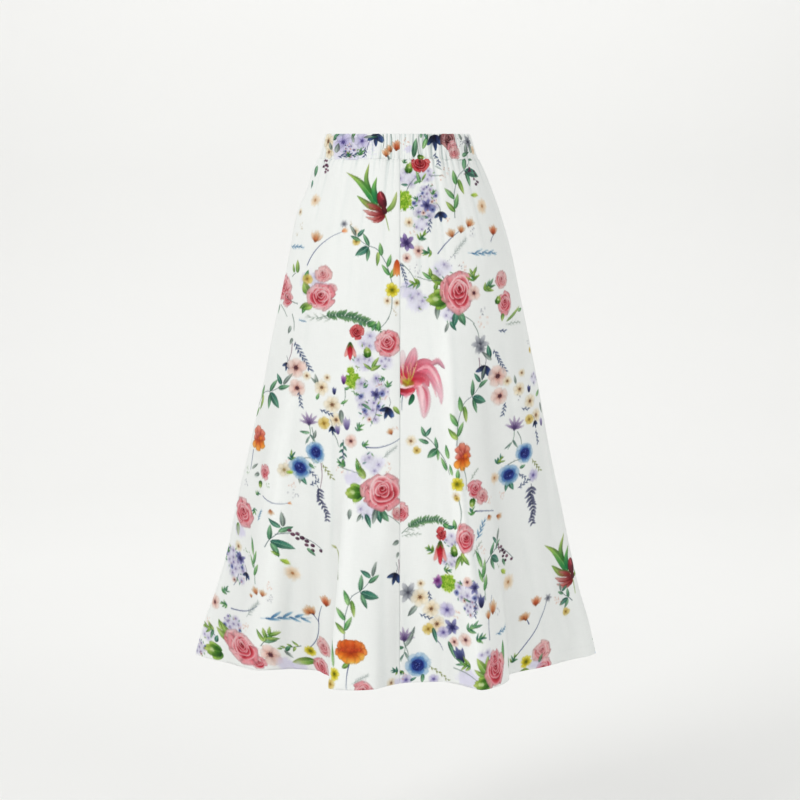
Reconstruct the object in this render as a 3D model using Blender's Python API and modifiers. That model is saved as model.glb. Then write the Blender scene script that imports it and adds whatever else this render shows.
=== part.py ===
"""Long A-line skirt with a gathered elastic waistband and a centre-front seam.

The skirt is modelled filled out, as it hangs when it is worn, and hollow. Every piece is a thin wall
around the same set of level sections. Metres, +Z up, the front faces -Y and +X is the side on the
right as seen from the front. The origin is the middle of the waistband's top edge.
"""

import math

import bmesh
import bpy
import numpy as np

# ---------------------------------------------------------------- driving sizes
LENGTH = 0.915  # waistband top to hem
BAND_HEIGHT = 0.043  # waistband, top to waist seam
PANEL_WALL = 0.0016  # panel cloth with its seam allowances
BAND_WALL = 0.0032  # doubled band cloth around the elastic
SEAM_GAP = 0.0003  # clear space between two pieces at a seam

CENTRE_FRONT = 90.0  # seam directions around the body, degrees from the right side over the front
LEFT_SIDE = 180.0
RIGHT_SIDE = 0.0
FULL_TURN = 360.0

FOLD_GROWTH = 1.35  # a fold deepens with this power of the way from its start to the hem

# The body's level sections: drop below the waistband's top, half widths to the left and right of the
# centre-front seam, and half depths to the front and the back.
SECTIONS = (
    # drop,  left,   right,  front,  back
    (0.000, 0.1272, 0.1197, 0.0930, 0.0940),  # top edge of the band
    (0.043, 0.1395, 0.1343, 0.0975, 0.1000),  # waist seam
    (0.060, 0.1490, 0.1432, 0.1020, 0.1060),  # gathers spring out
    (0.090, 0.1580, 0.1562, 0.1100, 0.1170),
    (0.140, 0.1785, 0.1745, 0.1200, 0.1340),
    (0.200, 0.1905, 0.1920, 0.1285, 0.1460),  # hips
    (0.270, 0.2048, 0.2070, 0.1365, 0.1550),
    (0.340, 0.2205, 0.2220, 0.1440, 0.1610),
    (0.430, 0.2383, 0.2405, 0.1530, 0.1680),
    (0.545, 0.2640, 0.2620, 0.1660, 0.1770),  # knees
    (0.640, 0.2870, 0.2825, 0.1760, 0.1850),
    (0.725, 0.3040, 0.3005, 0.1860, 0.1920),
    (0.800, 0.3260, 0.3180, 0.1940, 0.1980),
    (0.860, 0.3480, 0.3360, 0.1990, 0.2030),
    (0.915, 0.3630, 0.3480, 0.2030, 0.2060),  # hem
)

# The drape: each row is the line of a crest, flank or hollow that runs down the cloth. Its direction,
# how far it stands out of the section (or in, if negative) at the hem, and the drop where it starts.
FOLD_LINES = (
    # name,             degrees, at hem, starts
    ("side_right", 0, 0.000, 0.40),
    ("turn_side_right", 4, -0.011, 0.36),
    ("hollow_side_right", 9, -0.034, 0.30),
    ("hollow_right_b", 16, -0.042, 0.22),
    ("hollow_right_a", 27, -0.041, 0.18),
    ("flank_right", 37, -0.028, 0.18),
    ("flute_right_c", 46, 0.016, 0.20),
    ("flute_right_b", 54, 0.045, 0.20),
    ("flute_right_a", 61, 0.060, 0.20),
    ("rise_right", 65, 0.020, 0.26),
    ("hollow_front_b", 70, -0.006, 0.32),
    ("hollow_front_a", 85, -0.004, 0.38),
    ("rise_front", 91, 0.004, 0.44),
    ("flute_left_b", 100, 0.040, 0.46),
    ("flute_left_a", 112, 0.052, 0.46),
    ("edge_left", 116.5, 0.047, 0.46),
    ("under_left_b", 122, -0.012, 0.46),
    ("under_left_a", 132, -0.050, 0.42),
    ("hollow_left_b", 142, -0.076, 0.40),
    ("hollow_left_a", 149, -0.072, 0.40),
    ("small_flute_left", 154, -0.028, 0.50),
    ("hollow_side_left", 165, -0.036, 0.40),
    ("turn_side_left", 173, -0.018, 0.40),
    ("side_left", 179, 0.000, 0.40),
    ("back_turn_left", 185, -0.010, 0.36),
    ("back_fall_left", 195, -0.026, 0.30),
    ("back_hollow_a", 206, -0.042, 0.26),
    ("back_rise_a", 217, -0.014, 0.24),
    ("back_flute_a2", 226, 0.030, 0.24),
    ("back_flute_a1", 233, 0.038, 0.24),
    ("back_fall_a", 243, 0.006, 0.30),
    ("back_hollow_b", 253, -0.028, 0.34),
    ("back_rise_b", 262, -0.010, 0.40),
    ("back_flute_b2", 270, 0.030, 0.40),
    ("back_flute_b1", 278, 0.034, 0.40),
    ("back_fall_b", 287, -0.006, 0.38),
    ("back_hollow_c", 297, -0.034, 0.32),
    ("back_rise_c", 305, 0.000, 0.26),
    ("back_flute_c2", 312, 0.040, 0.22),
    ("back_flute_c1", 320, 0.044, 0.22),
    ("back_fall_c", 329, 0.002, 0.24),
    ("back_hollow_d", 339, -0.040, 0.30),
    ("back_fall_right", 350, -0.022, 0.34),
    ("back_turn_right", 356, -0.007, 0.36),
)

# Levels of the panel meshes, as drops below the waistband's top.
PANEL_LEVELS = (BAND_HEIGHT + SEAM_GAP, 0.060, 0.090, 0.140, 0.200, 0.270, 0.340, 0.410, 0.470, 0.530, 0.590, 0.650, 0.705, 0.760, 0.815, 0.867, LENGTH)
BAND_LEVELS = (0.0, BAND_HEIGHT / 2, BAND_HEIGHT)

WHITE = (0.86, 0.88, 0.86)  # the cloth's ground

# The pieces, each between two of the upright seams.
PIECES = (
    # name, from, to, levels, wall, columns
    ("front_right", RIGHT_SIDE, CENTRE_FRONT, PANEL_LEVELS, PANEL_WALL, 24),
    ("front_left", CENTRE_FRONT, LEFT_SIDE, PANEL_LEVELS, PANEL_WALL, 24),
    ("back", LEFT_SIDE, FULL_TURN, PANEL_LEVELS, PANEL_WALL, 38),
    ("waistband_front_right", RIGHT_SIDE, CENTRE_FRONT, BAND_LEVELS, BAND_WALL, 18),
    ("waistband_front_left", CENTRE_FRONT, LEFT_SIDE, BAND_LEVELS, BAND_WALL, 18),
    ("waistband_back", LEFT_SIDE, FULL_TURN, BAND_LEVELS, BAND_WALL, 32),
)


# ---------------------------------------------------------------- the body's surface
def smooth(xs, ys, x, period=None):
    """A smooth curve through the rows that never overshoots them, closed on itself if it has a period."""
    xs, ys, x = np.asarray(xs, float), np.asarray(ys, float), np.asarray(x, float)
    if period:
        first = xs[0]
        xs = np.concatenate((xs[-2:] - period, xs, xs[:2] + period))
        ys = np.concatenate((ys[-2:], ys, ys[:2]))
        x = (x - first) % period + first
    step = np.diff(xs)
    slope = np.diff(ys) / step
    tangent = np.zeros(len(xs))
    tangent[0], tangent[-1] = slope[0], slope[-1]
    for i in range(1, len(xs) - 1):
        if slope[i - 1] * slope[i] > 0:
            near, far = 2 * step[i] + step[i - 1], step[i] + 2 * step[i - 1]
            tangent[i] = (near + far) / (near / slope[i - 1] + far / slope[i])
    i = np.clip(np.searchsorted(xs, x, side="right") - 1, 0, len(step) - 1)
    t = (x - xs[i]) / step[i]
    start, end = 2 * t**3 - 3 * t**2 + 1, 3 * t**2 - 2 * t**3
    leave, arrive = t**3 - 2 * t**2 + t, t**3 - t**2
    return start * ys[i] + end * ys[i + 1] + step[i] * (leave * tangent[i] + arrive * tangent[i + 1])


def radii(degrees, drop):
    """How far the cloth stands from the vertical axis in each of these directions, at one level."""
    degrees = np.asarray(degrees, float)
    rows = np.array(SECTIONS)
    left, right, front, back = (float(smooth(rows[:, 0], rows[:, k], drop)) for k in (1, 2, 3, 4))
    across, ahead = np.cos(np.radians(degrees)), np.sin(np.radians(degrees))
    width = np.where(across > 0, right, left)
    depth = np.where(ahead > 0, front, back)
    section = 1 / np.sqrt((across / width) ** 2 + (ahead / depth) ** 2)
    grown = [at_hem * min(max((drop - starts) / (LENGTH - starts), 0.0), 1.0) ** FOLD_GROWTH for _, _, at_hem, starts in FOLD_LINES]
    return section + smooth([row[1] for row in FOLD_LINES], grown, degrees, FULL_TURN)


def stations(first, last, columns):
    """Directions of the columns between two seams, closer where the hem turns most, with a narrow column at each seam."""
    fine = np.linspace(first, last, 400)
    reach = radii(fine, LENGTH)
    x, y = reach * np.cos(np.radians(fine)), reach * np.sin(np.radians(fine))
    run = np.hypot(np.diff(x), np.diff(y))
    heading = np.unwrap(np.arctan2(np.diff(y), np.diff(x)))
    turn = np.concatenate(([0.0], np.abs(np.diff(heading))))
    turn = np.convolve(turn, np.ones(9) / 9, mode="same")
    effort = np.concatenate(([0.0], np.cumsum(run / run.sum() + turn / turn.sum())))
    inner = np.interp(np.linspace(0, effort[-1], columns - 1), effort, fine)
    narrow = 0.3  # degrees, so that both edges of a seam face the same way
    inner[0], inner[-1] = first + narrow, last - narrow
    return np.concatenate(([first], inner, [last]))


def wall_piece(name, first, last, levels, wall, columns, collection):
    """One cut piece as an open grid on the body's outer surface, thickened inwards by its wall."""
    mesh = bpy.data.meshes.new(name)
    shape = bmesh.new()
    directions = stations(first, last, columns)
    grid = []
    for drop in levels:
        shift = math.degrees(SEAM_GAP / 2 / radii([first, last], drop).min())
        row = directions.copy()
        row[0] += shift
        row[-1] -= shift
        reach = radii(row, drop)
        grid.append([shape.verts.new((r * math.cos(math.radians(d)), -r * math.sin(math.radians(d)), -drop)) for d, r in zip(row, reach)])
    for upper, lower in zip(grid, grid[1:]):
        for a, b, c, d in zip(upper, upper[1:], lower[1:], lower):
            shape.faces.new((a, b, c, d))
    bmesh.ops.recalc_face_normals(shape, faces=shape.faces)
    middle = grid[0][len(grid[0]) // 2]
    if middle.link_faces[0].normal.dot(middle.co) < 0:
        bmesh.ops.reverse_faces(shape, faces=shape.faces)
    shape.to_mesh(mesh)
    shape.free()
    mesh.shade_smooth()
    piece = bpy.data.objects.new(name, mesh)
    collection.objects.link(piece)
    solid = piece.modifiers.new("wall", "SOLIDIFY")
    solid.thickness = wall
    solid.offset = -1.0
    solid.use_rim = True
    cloth = bpy.data.materials.new(name + "_cloth")
    cloth.use_nodes = True
    surface = cloth.node_tree.nodes["Principled BSDF"]
    surface.inputs["Base Color"].default_value = (*WHITE, 1.0)
    surface.inputs["Roughness"].default_value = 0.8
    surface.inputs["Metallic"].default_value = 0.0
    mesh.materials.append(cloth)
    return piece


def main():
    for existing in list(bpy.data.objects):
        bpy.data.objects.remove(existing, do_unlink=True)
    collection = bpy.data.collections.new("a_line_skirt")
    bpy.context.scene.collection.children.link(collection)
    for name, first, last, levels, wall, columns in PIECES:
        wall_piece(name, first, last, levels, wall, columns, collection)


main()
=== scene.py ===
"""Long A-line skirt in printed cotton: its cloth pieces, their print, the stage and the light.

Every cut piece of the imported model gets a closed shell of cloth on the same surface. The print is painted in
flat cloth coordinates from a chart of motifs, and each shell's triangles are finest where the print is.
"""

import math
import time

import bpy
import numpy as np
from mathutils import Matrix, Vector


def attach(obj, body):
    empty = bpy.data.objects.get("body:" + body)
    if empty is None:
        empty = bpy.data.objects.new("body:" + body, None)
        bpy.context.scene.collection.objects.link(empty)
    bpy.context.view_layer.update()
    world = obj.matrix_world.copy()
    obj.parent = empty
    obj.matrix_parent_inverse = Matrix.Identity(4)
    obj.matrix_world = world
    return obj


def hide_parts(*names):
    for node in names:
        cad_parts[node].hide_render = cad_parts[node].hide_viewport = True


CAMERA_AT = (0.0, -3.5, 0.0)
CAMERA_TO = (0.0, 0.0, -0.462)
DEPTH = 1.22  # how much deeper the print's colours dry than they are painted
# how much painted shade darkens the hollows between gathers, in red, green and blue
HOLLOW_BAND = (0.30, 0.23, 0.23)
HOLLOW_PANEL = (0.12, 0.09, 0.09)
# painted shade in the valleys between the wide folds and, a little less, painted light on their crests
FOLD_SHADE = 0.055
FLOOR = -1.36
SWEEP_COLOUR = (0.905, 0.903, 0.895)
WALL = 5.2
ROOM_COLOUR = (0.99, 0.995, 0.985)
ROOM_LIGHT = 0.54
LIGHTS = (
    # name, at, to, size, power, colour
    ("key", (-2.6, -2.7, 1.6), (0.0, 0.0, -0.45), (1.4, 1.8), 63.0, (1.0, 1.0, 0.985)),
    ("fill", (2.7, -2.7, 0.5), (0.0, 0.0, -0.5), (1.6, 2.2), 29.0, (0.99, 1.0, 0.985)),
    ("wall_wash", (0.0, 2.4, 3.6), (0.0, 4.6, -0.9), (6.0, 2.4), 105.0, (1.0, 1.0, 0.99)),
)
# which piece each one is sewn to
BAND_OF = {"front_left": "waistband_front_left", "front_right": "waistband_front_right", "back": "waistband_back"}

# ---------------------------------------------------------------- the body's surface, as in the CAD
LENGTH = 0.915  # waistband top to hem
BAND_HEIGHT = 0.043
SEAM_GAP = 0.0003
FULL_TURN = 360.0
FOLD_GROWTH = 1.35
SECTIONS = (
    # drop,  left,   right,  front,  back
    (0.000, 0.1272, 0.1197, 0.0930, 0.0940),  # top edge of the band
    (0.043, 0.1395, 0.1343, 0.0975, 0.1000),  # waist seam
    (0.060, 0.1490, 0.1432, 0.1020, 0.1060),  # gathers spring out
    (0.090, 0.1580, 0.1562, 0.1100, 0.1170),
    (0.140, 0.1785, 0.1745, 0.1200, 0.1340),
    (0.200, 0.1905, 0.1920, 0.1285, 0.1460),  # hips
    (0.270, 0.2048, 0.2070, 0.1365, 0.1550),
    (0.340, 0.2205, 0.2220, 0.1440, 0.1610),
    (0.430, 0.2383, 0.2405, 0.1530, 0.1680),
    (0.545, 0.2640, 0.2620, 0.1660, 0.1770),  # knees
    (0.640, 0.2870, 0.2825, 0.1760, 0.1850),
    (0.725, 0.3040, 0.3005, 0.1860, 0.1920),
    (0.800, 0.3260, 0.3180, 0.1940, 0.1980),
    (0.860, 0.3480, 0.3360, 0.1990, 0.2030),
    (0.915, 0.3630, 0.3480, 0.2030, 0.2060),  # hem
)
FOLD_LINES = (
    # name,             degrees, at hem, starts
    ("side_right", 0, 0.000, 0.40),
    ("turn_side_right", 4, -0.011, 0.36),
    ("hollow_side_right", 9, -0.034, 0.30),
    ("hollow_right_b", 16, -0.042, 0.22),
    ("hollow_right_a", 27, -0.041, 0.18),
    ("flank_right", 37, -0.028, 0.18),
    ("flute_right_c", 46, 0.016, 0.20),
    ("flute_right_b", 54, 0.045, 0.20),
    ("flute_right_a", 61, 0.060, 0.20),
    ("rise_right", 65, 0.020, 0.26),
    ("hollow_front_b", 70, -0.006, 0.32),
    ("hollow_front_a", 85, -0.004, 0.38),
    ("rise_front", 91, 0.004, 0.44),
    ("flute_left_b", 100, 0.040, 0.46),
    ("flute_left_a", 112, 0.052, 0.46),
    ("edge_left", 116.5, 0.047, 0.46),
    ("under_left_b", 122, -0.012, 0.46),
    ("under_left_a", 132, -0.050, 0.42),
    ("hollow_left_b", 142, -0.076, 0.40),
    ("hollow_left_a", 149, -0.072, 0.40),
    ("small_flute_left", 154, -0.028, 0.50),
    ("hollow_side_left", 165, -0.036, 0.40),
    ("turn_side_left", 173, -0.018, 0.40),
    ("side_left", 179, 0.000, 0.40),
    ("back_turn_left", 185, -0.010, 0.36),
    ("back_fall_left", 195, -0.026, 0.30),
    ("back_hollow_a", 206, -0.042, 0.26),
    ("back_rise_a", 217, -0.014, 0.24),
    ("back_flute_a2", 226, 0.030, 0.24),
    ("back_flute_a1", 233, 0.038, 0.24),
    ("back_fall_a", 243, 0.006, 0.30),
    ("back_hollow_b", 253, -0.028, 0.34),
    ("back_rise_b", 262, -0.010, 0.40),
    ("back_flute_b2", 270, 0.030, 0.40),
    ("back_flute_b1", 278, 0.034, 0.40),
    ("back_fall_b", 287, -0.006, 0.38),
    ("back_hollow_c", 297, -0.034, 0.32),
    ("back_rise_c", 305, 0.000, 0.26),
    ("back_flute_c2", 312, 0.040, 0.22),
    ("back_flute_c1", 320, 0.044, 0.22),
    ("back_fall_c", 329, 0.002, 0.24),
    ("back_hollow_d", 339, -0.040, 0.30),
    ("back_fall_right", 350, -0.022, 0.34),
    ("back_turn_right", 356, -0.007, 0.36),
)

STEP = 0.5  # mm between the points of the painted cloth
GROUND = (243, 245, 243)
CLOTH_THICK = 0.0009  # the panels' cloth
BAND_THICK = 0.0026  # the band: two layers and the elastic


def smooth(xs, ys, x, period=None):
    """A smooth curve through the rows that never overshoots them, closed on itself if it has a period."""
    xs, ys, x = np.asarray(xs, float), np.asarray(ys, float), np.asarray(x, float)
    if period:
        first = xs[0]
        xs = np.concatenate((xs[-2:] - period, xs, xs[:2] + period))
        ys = np.concatenate((ys[-2:], ys, ys[:2]))
        x = (x - first) % period + first
    step = np.diff(xs)
    slope = np.diff(ys) / step
    tangent = np.zeros(len(xs))
    tangent[0], tangent[-1] = slope[0], slope[-1]
    for i in range(1, len(xs) - 1):
        if slope[i - 1] * slope[i] > 0:
            near, far = 2 * step[i] + step[i - 1], step[i] + 2 * step[i - 1]
            tangent[i] = (near + far) / (near / slope[i - 1] + far / slope[i])
    i = np.clip(np.searchsorted(xs, x, side="right") - 1, 0, len(step) - 1)
    t = (x - xs[i]) / step[i]
    start, end = 2 * t**3 - 3 * t**2 + 1, 3 * t**2 - 2 * t**3
    leave, arrive = t**3 - 2 * t**2 + t, t**3 - t**2
    return start * ys[i] + end * ys[i + 1] + step[i] * (leave * tangent[i] + arrive * tangent[i + 1])


def radii(degrees, drop):
    """How far the cloth stands from the vertical axis in each of these directions, at one level."""
    rows = np.array(SECTIONS)
    left, right, front, back = (float(smooth(rows[:, 0], rows[:, k], drop)) for k in (1, 2, 3, 4))
    across, ahead = np.cos(np.radians(degrees)), np.sin(np.radians(degrees))
    width = np.where(across > 0, right, left)
    depth = np.where(ahead > 0, front, back)
    section = 1 / np.sqrt((across / width) ** 2 + (ahead / depth) ** 2)
    grown = [at_hem * min(max((drop - starts) / (LENGTH - starts), 0.0), 1.0) ** FOLD_GROWTH for _, _, at_hem, starts in FOLD_LINES]
    return section + smooth([row[1] for row in FOLD_LINES], grown, degrees, FULL_TURN)


def cubic(table, row, col):
    """Values between the points of a table, by a smooth curve each way."""
    high, wide = table.shape[:2]
    i, j = np.clip(row.astype(int), 0, high - 2), np.clip(col.astype(int), 0, wide - 2)
    fi, fj = row - i, col - j

    def shares(f):
        return -0.5 * f + f * f - 0.5 * f**3, 1 - 2.5 * f * f + 1.5 * f**3, 0.5 * f + 2 * f * f - 1.5 * f**3, -0.5 * f * f + 0.5 * f**3

    total = 0.0
    for a, wa in enumerate(shares(fi)):
        ia = i + a - 1
        line = 0.0
        for b, wb in enumerate(shares(fj)):
            jb = j + b - 1
            # one step outside the table goes on in a straight line
            line = line + wb * sample(table, ia, jb, high, wide)
        total = total + wa * line
    return total


def sample(table, i, j, high, wide):
    ic, jc = np.clip(i, 0, high - 1), np.clip(j, 0, wide - 1)
    value = table[ic, jc]
    out = i != ic
    if out.any():
        inner = np.clip(2 * ic - i, 0, high - 1)
        value = np.where(out, 2 * value - table[inner, jc], value)
    out = j != jc
    if out.any():
        inner = np.clip(2 * jc - j, 0, wide - 1)
        value = np.where(out, 2 * value - table[ic, inner], value)
    return value


class Wall:
    """One cut piece's place on the body: how far across it (0 to 1) and how far down give a point."""

    ACROSS = 301

    def __init__(self, first, last, middle, top, bottom, step=0.004):
        rows = int(math.ceil((bottom - top) / step)) + 1
        self.top, self.bottom = top, bottom
        self.drops = np.linspace(top, bottom, rows)
        x, y, turn, run = [], [], [], []
        for drop in self.drops:
            shift = math.degrees(SEAM_GAP / 2 / radii(np.array([first, last]), drop).min())
            fine = np.linspace(first + shift, last - shift, 1201)
            r = radii(fine, drop)
            px, py = r * np.cos(np.radians(fine)), -r * np.sin(np.radians(fine))
            arc = np.concatenate(([0.0], np.cumsum(np.hypot(np.diff(px), np.diff(py)))))
            even = np.linspace(0, arc[-1], self.ACROSS)
            x.append(np.interp(even, arc, px))
            y.append(np.interp(even, arc, py))
            turn.append(np.interp(even, arc, fine))
            run.append(np.interp(middle, fine, arc) - even)
        self.x, self.y, self.turn, self.run = (np.array(v) for v in (x, y, turn, run))
        self.width = np.abs(self.run[:, -1] - self.run[:, 0])

    def cell(self, s, v):
        return (v - self.top) / (self.bottom - self.top) * (len(self.drops) - 1), s * (self.ACROSS - 1)

    def across(self, v):
        """The cloth's width at this drop."""
        return np.interp(v, self.drops, self.width)

    def cloth_xy(self, s, v):
        """Where the point is on the flat cloth: metres to the right of its middle line, and metres down."""
        row, col = self.cell(s, v)
        return cubic(self.run, row, col), v

    def degrees(self, s, v):
        row, col = self.cell(s, v)
        return cubic(self.turn, row, col)

    def point(self, s, v):
        row, col = self.cell(s, v)
        return np.stack((cubic(self.x, row, col), cubic(self.y, row, col), -v), -1)

    def point_normal(self, s, v):
        p = self.point(s, v)
        e = 0.0015
        sa, sb = np.clip(s - e, 0, 1), np.clip(s + e, 0, 1)
        va, vb = np.clip(v - e, self.top, self.bottom), np.clip(v + e, self.top, self.bottom)
        along = self.point(sb, v) - self.point(sa, v)
        down = self.point(s, vb) - self.point(s, va)
        n = np.cross(along, down)
        n /= np.linalg.norm(n, axis=1)[:, None]
        flip = np.sign((n[:, 0] * p[:, 0] + n[:, 1] * p[:, 1]).sum()) or 1.0
        return p, n * flip


# ---------------------------------------------------------------- the fine form: gathers, creases, seams
# Soft creases in the cloth of each panel, in mm of flat cloth: x from the middle line, y down from the
# waistband's top. Each follows x over y, fades at both ends, and is half as wide on a side as stated.
CREASES = {
    "front_left": (
        # (x, y) down the cloth, left half width, right half width, height
        (((-71, 163), (-76, 259), (-84, 359)), 7, 9, 1.0),
        (((-90, 326), (-96, 443), (-107, 527)), 10, 8, 1.0),
        (((-47, 54), (-54, 110), (-62, 176)), 5, 7, 0.8),
        (((-18, 49), (-21, 94), (-25, 152)), 4, 5, 0.8),
        (((-96, 58), (-108, 119), (-118, 194)), 8, 6, 0.9),
        (((-113, 494), (-127, 613), (-150, 714)), 6, 9, -1.3),
        (((-34, 700), (-36, 820), (-35, 960)), 20, 15, -3.8),
        (((-92, 641), (-101, 770), (-112, 914)), 16, 14, 1.6),
        (((-181, 330), (-196, 449), (-217, 551)), 14, 10, 1.2),
        (((-229, 502), (-278, 658), (-350, 799)), 16, 12, 1.5),
        (((-230, 724), (-271, 811), (-318, 898)), 12, 14, -1.5),
        (((-142, 194), (-159, 278), (-169, 363)), 9, 9, -0.8),
        (((-129, 53), (-144, 95), (-154, 153)), 6, 6, -0.8),
        (((-59, 259), (-48, 342), (-43, 442)), 12, 9, -0.9),
    ),
    "front_right": (
        # (x, y) down the cloth, left half width, right half width, height
        (((30, 51), (31, 143), (35, 262)), 4, 5, -1.1),
        (((45, 47), (50, 144), (57, 275)), 5, 5, 0.9),
        (((63, 51), (69, 135), (78, 213)), 4, 5, -1.0),
        (((13, 54), (15, 135), (16, 226)), 4, 6, 0.6),
        (((50, 275), (60, 334), (69, 408)), 9, 8, 1.1),
        (((75, 290), (90, 475), (106, 605), (138, 768)), 24, 8, 2.4),
        (((92, 400), (117, 606), (157, 787)), 7, 18, -1.8),
        (((301, 484), (328, 581), (361, 712)), 10, 9, 1.5),
        (((111, 58), (132, 137), (154, 228)), 6, 7, 0.8),
        (((91, 54), (104, 119), (118, 194)), 5, 6, -0.8),
        (((186, 331), (216, 451), (258, 572)), 12, 10, -1.1),
        (((33, 609), (40, 743), (48, 877)), 16, 12, 1.1),
        (((260, 673), (308, 780), (362, 888)), 12, 14, -1.4),
        (((8, 708), (10, 808), (14, 910)), 8, 14, -1.2),
        (((332, 733), (382, 825), (430, 900)), 12, 10, 1.2),
    ),
    "back": (
        (((-150, 60), (-190, 200), (-230, 360)), 10, 8, 1.1),
        (((-120, 55), (-150, 130), (-175, 220)), 6, 8, -0.9),
        (((-95, 50), (-104, 130), (-112, 230)), 6, 5, 0.8),
        (((-60, 52), (-66, 150), (-75, 290)), 5, 6, -1.0),
        (((-30, 50), (-33, 120), (-38, 200)), 6, 5, 0.8),
        (((-8, 54), (-10, 140), (-10, 260)), 4, 6, -0.8),
        (((22, 50), (26, 150), (30, 300)), 6, 8, 1.0),
        (((50, 52), (60, 120), (66, 210)), 5, 5, -0.9),
        (((84, 50), (98, 160), (118, 330)), 8, 6, 1.2),
        (((120, 56), (150, 150), (178, 260)), 7, 9, -0.9),
        (((150, 60), (186, 190), (214, 320)), 9, 7, 1.0),
        (((-360, 560), (-410, 720), (-465, 880)), 14, 12, -1.6),
        (((-270, 420), (-318, 600), (-378, 820)), 18, 9, 1.7),
        (((-215, 480), (-245, 640), (-290, 860)), 9, 16, -1.5),
        (((-120, 380), (-138, 560), (-165, 800)), 16, 10, 1.4),
        (((-60, 520), (-70, 680), (-84, 900)), 14, 16, -1.6),
        (((0, 430), (4, 620), (10, 860)), 14, 18, 1.5),
        (((88, 460), (104, 640), (124, 890)), 12, 12, -1.5),
        (((170, 400), (205, 580), (250, 830)), 12, 18, 1.6),
        (((240, 520), (285, 680), (335, 880)), 14, 10, -1.4),
        (((330, 560), (380, 700), (440, 880)), 12, 16, 1.3),
    ),
}
# Stretches of painted shade and painted light on the cloth, in rows like those: the last number is how much darker the
# colour is painted, and below 0 how much brighter.
SHADES = {
    "front_left": (
        (((-4, 240), (-4, 500), (-4, 980)), 10, 6, 0.040),
        (((-36, 640), (-38, 820), (-36, 1040)), 22, 20, 0.022),
        (((-190, 250), (-250, 400), (-335, 610), (-450, 960)), 50, 70, 0.030),
    ),
    "front_right": (
        (((46, 240), (66, 475), (84, 605), (112, 768), (136, 1020)), 40, 22, -0.042),
        (((50, 600), (58, 768), (64, 1040)), 34, 34, -0.026),
        (((108, 380), (122, 475), (140, 605), (176, 768), (196, 960)), 14, 50, 0.014),
    ),
    "back": (),
}
# How strongly the waist is gathered from place to place round the body.
GATHERING = ((0, 0.8), (20, 1.0), (44, 1.5), (58, 1.9), (72, 1.4), (84, 0.8), (97, 1.5), (108, 1.2), (122, 0.7), (150, 0.6), (180, 0.8), (205, 1.1), (235, 0.9), (262, 1.3), (290, 1.0), (318, 1.3), (340, 0.9))


def ridges(count, spread, seed):
    """Directions and heights of uneven ridges round the body, closed on themselves."""
    rng = np.random.default_rng(seed)
    at = (np.arange(count) + rng.uniform(-spread, spread, count)) * FULL_TURN / count
    at = np.sort(at % FULL_TURN)
    high = rng.uniform(0.35, 1.0, count)
    at = np.concatenate((at[-2:] - FULL_TURN, at, at[:2] + FULL_TURN))
    high = np.concatenate((high[-2:], high, high[:2]))
    return at, high


def puckered(at, high, degrees):
    """Round ridges with sharp valleys between them, from 0 in a valley to each ridge's height."""
    d = degrees % FULL_TURN
    i = np.clip(np.searchsorted(at, d) - 1, 0, len(at) - 2)
    best = np.zeros_like(d)
    for k in (i, i + 1):
        gap_left, gap_right = at[np.clip(k, 1, None)] - at[np.clip(k - 1, 0, None)], at[np.clip(k + 1, None, len(at) - 1)] - at[k]
        reach = np.where(d < at[k], np.maximum(gap_left, 0.4), np.maximum(gap_right, 0.4)) * 0.60
        best = np.maximum(best, high[k] * np.clip(1 - ((d - at[k]) / reach) ** 2, 0, 1))
    return best


RIDGES = [ridges(n, spread, seed) for n, spread, seed in ((84, 0.36, 3), (40, 0.4, 4), (19, 0.42, 5))]
BAND_RIDGES = [ridges(n, spread, seed) for n, spread, seed in ((96, 0.36, 6), (88, 0.40, 7), (34, 0.42, 8))]


# Deeper folds across the band: x at its top and at its foot in mm from the middle line, half width, depth.
BAND_FOLDS = {
    "waistband_front_left": ((-12, -14, 1.9, 1.9), (-23, -19, 2.3, 2.4), (-30, -33, 1.8, 1.3), (-47, -45, 2.4, 1.5), (-71, -74, 2.8, 1.7), (-103, -100, 2.2, 1.3), (-127, -131, 2.6, 1.8), (-150, -149, 2.0, 1.4)),
    "waistband_front_right": ((9, 8, 1.8, 1.3), (22, 25, 2.0, 1.9), (31, 34, 2.3, 2.8), (40, 39, 1.9, 2.2), (52, 57, 2.4, 3.0), (62, 62, 2.0, 2.6), (71, 75, 2.6, 2.7), (84, 82, 2.1, 1.6), (101, 105, 2.5, 1.9), (131, 128, 2.3, 1.5), (152, 155, 2.0, 1.7)),
    "waistband_back": ((-158, -155, 2.1, 1.8), (-141, -143, 2.4, 2.3), (-118, -113, 1.9, 1.6), (-96, -97, 2.7, 2.6), (-82, -80, 1.8, 1.9), (-61, -66, 2.3, 2.0), (-37, -36, 2.0, 2.5), (-21, -17, 2.5, 1.6), (-3, -5, 1.9, 2.1), (17, 19, 2.2, 2.7), (33, 30, 1.8, 1.7), (56, 59, 2.6, 2.3), (79, 78, 2.0, 2.0), (92, 97, 2.3, 2.6), (119, 116, 2.1, 1.6), (138, 140, 2.5, 2.2), (157, 153, 1.9, 1.8)),
}


def slow_noise(x, y, scale_x, scale_y, seed):
    """Smooth noise from -1 to 1 over the flat cloth, in metres."""
    grid = np.random.default_rng(seed).uniform(-1, 1, (48, 48))
    gx, gy = x / scale_x + 24, y / scale_y + 2
    return cubic(grid, gy, gx)


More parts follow.
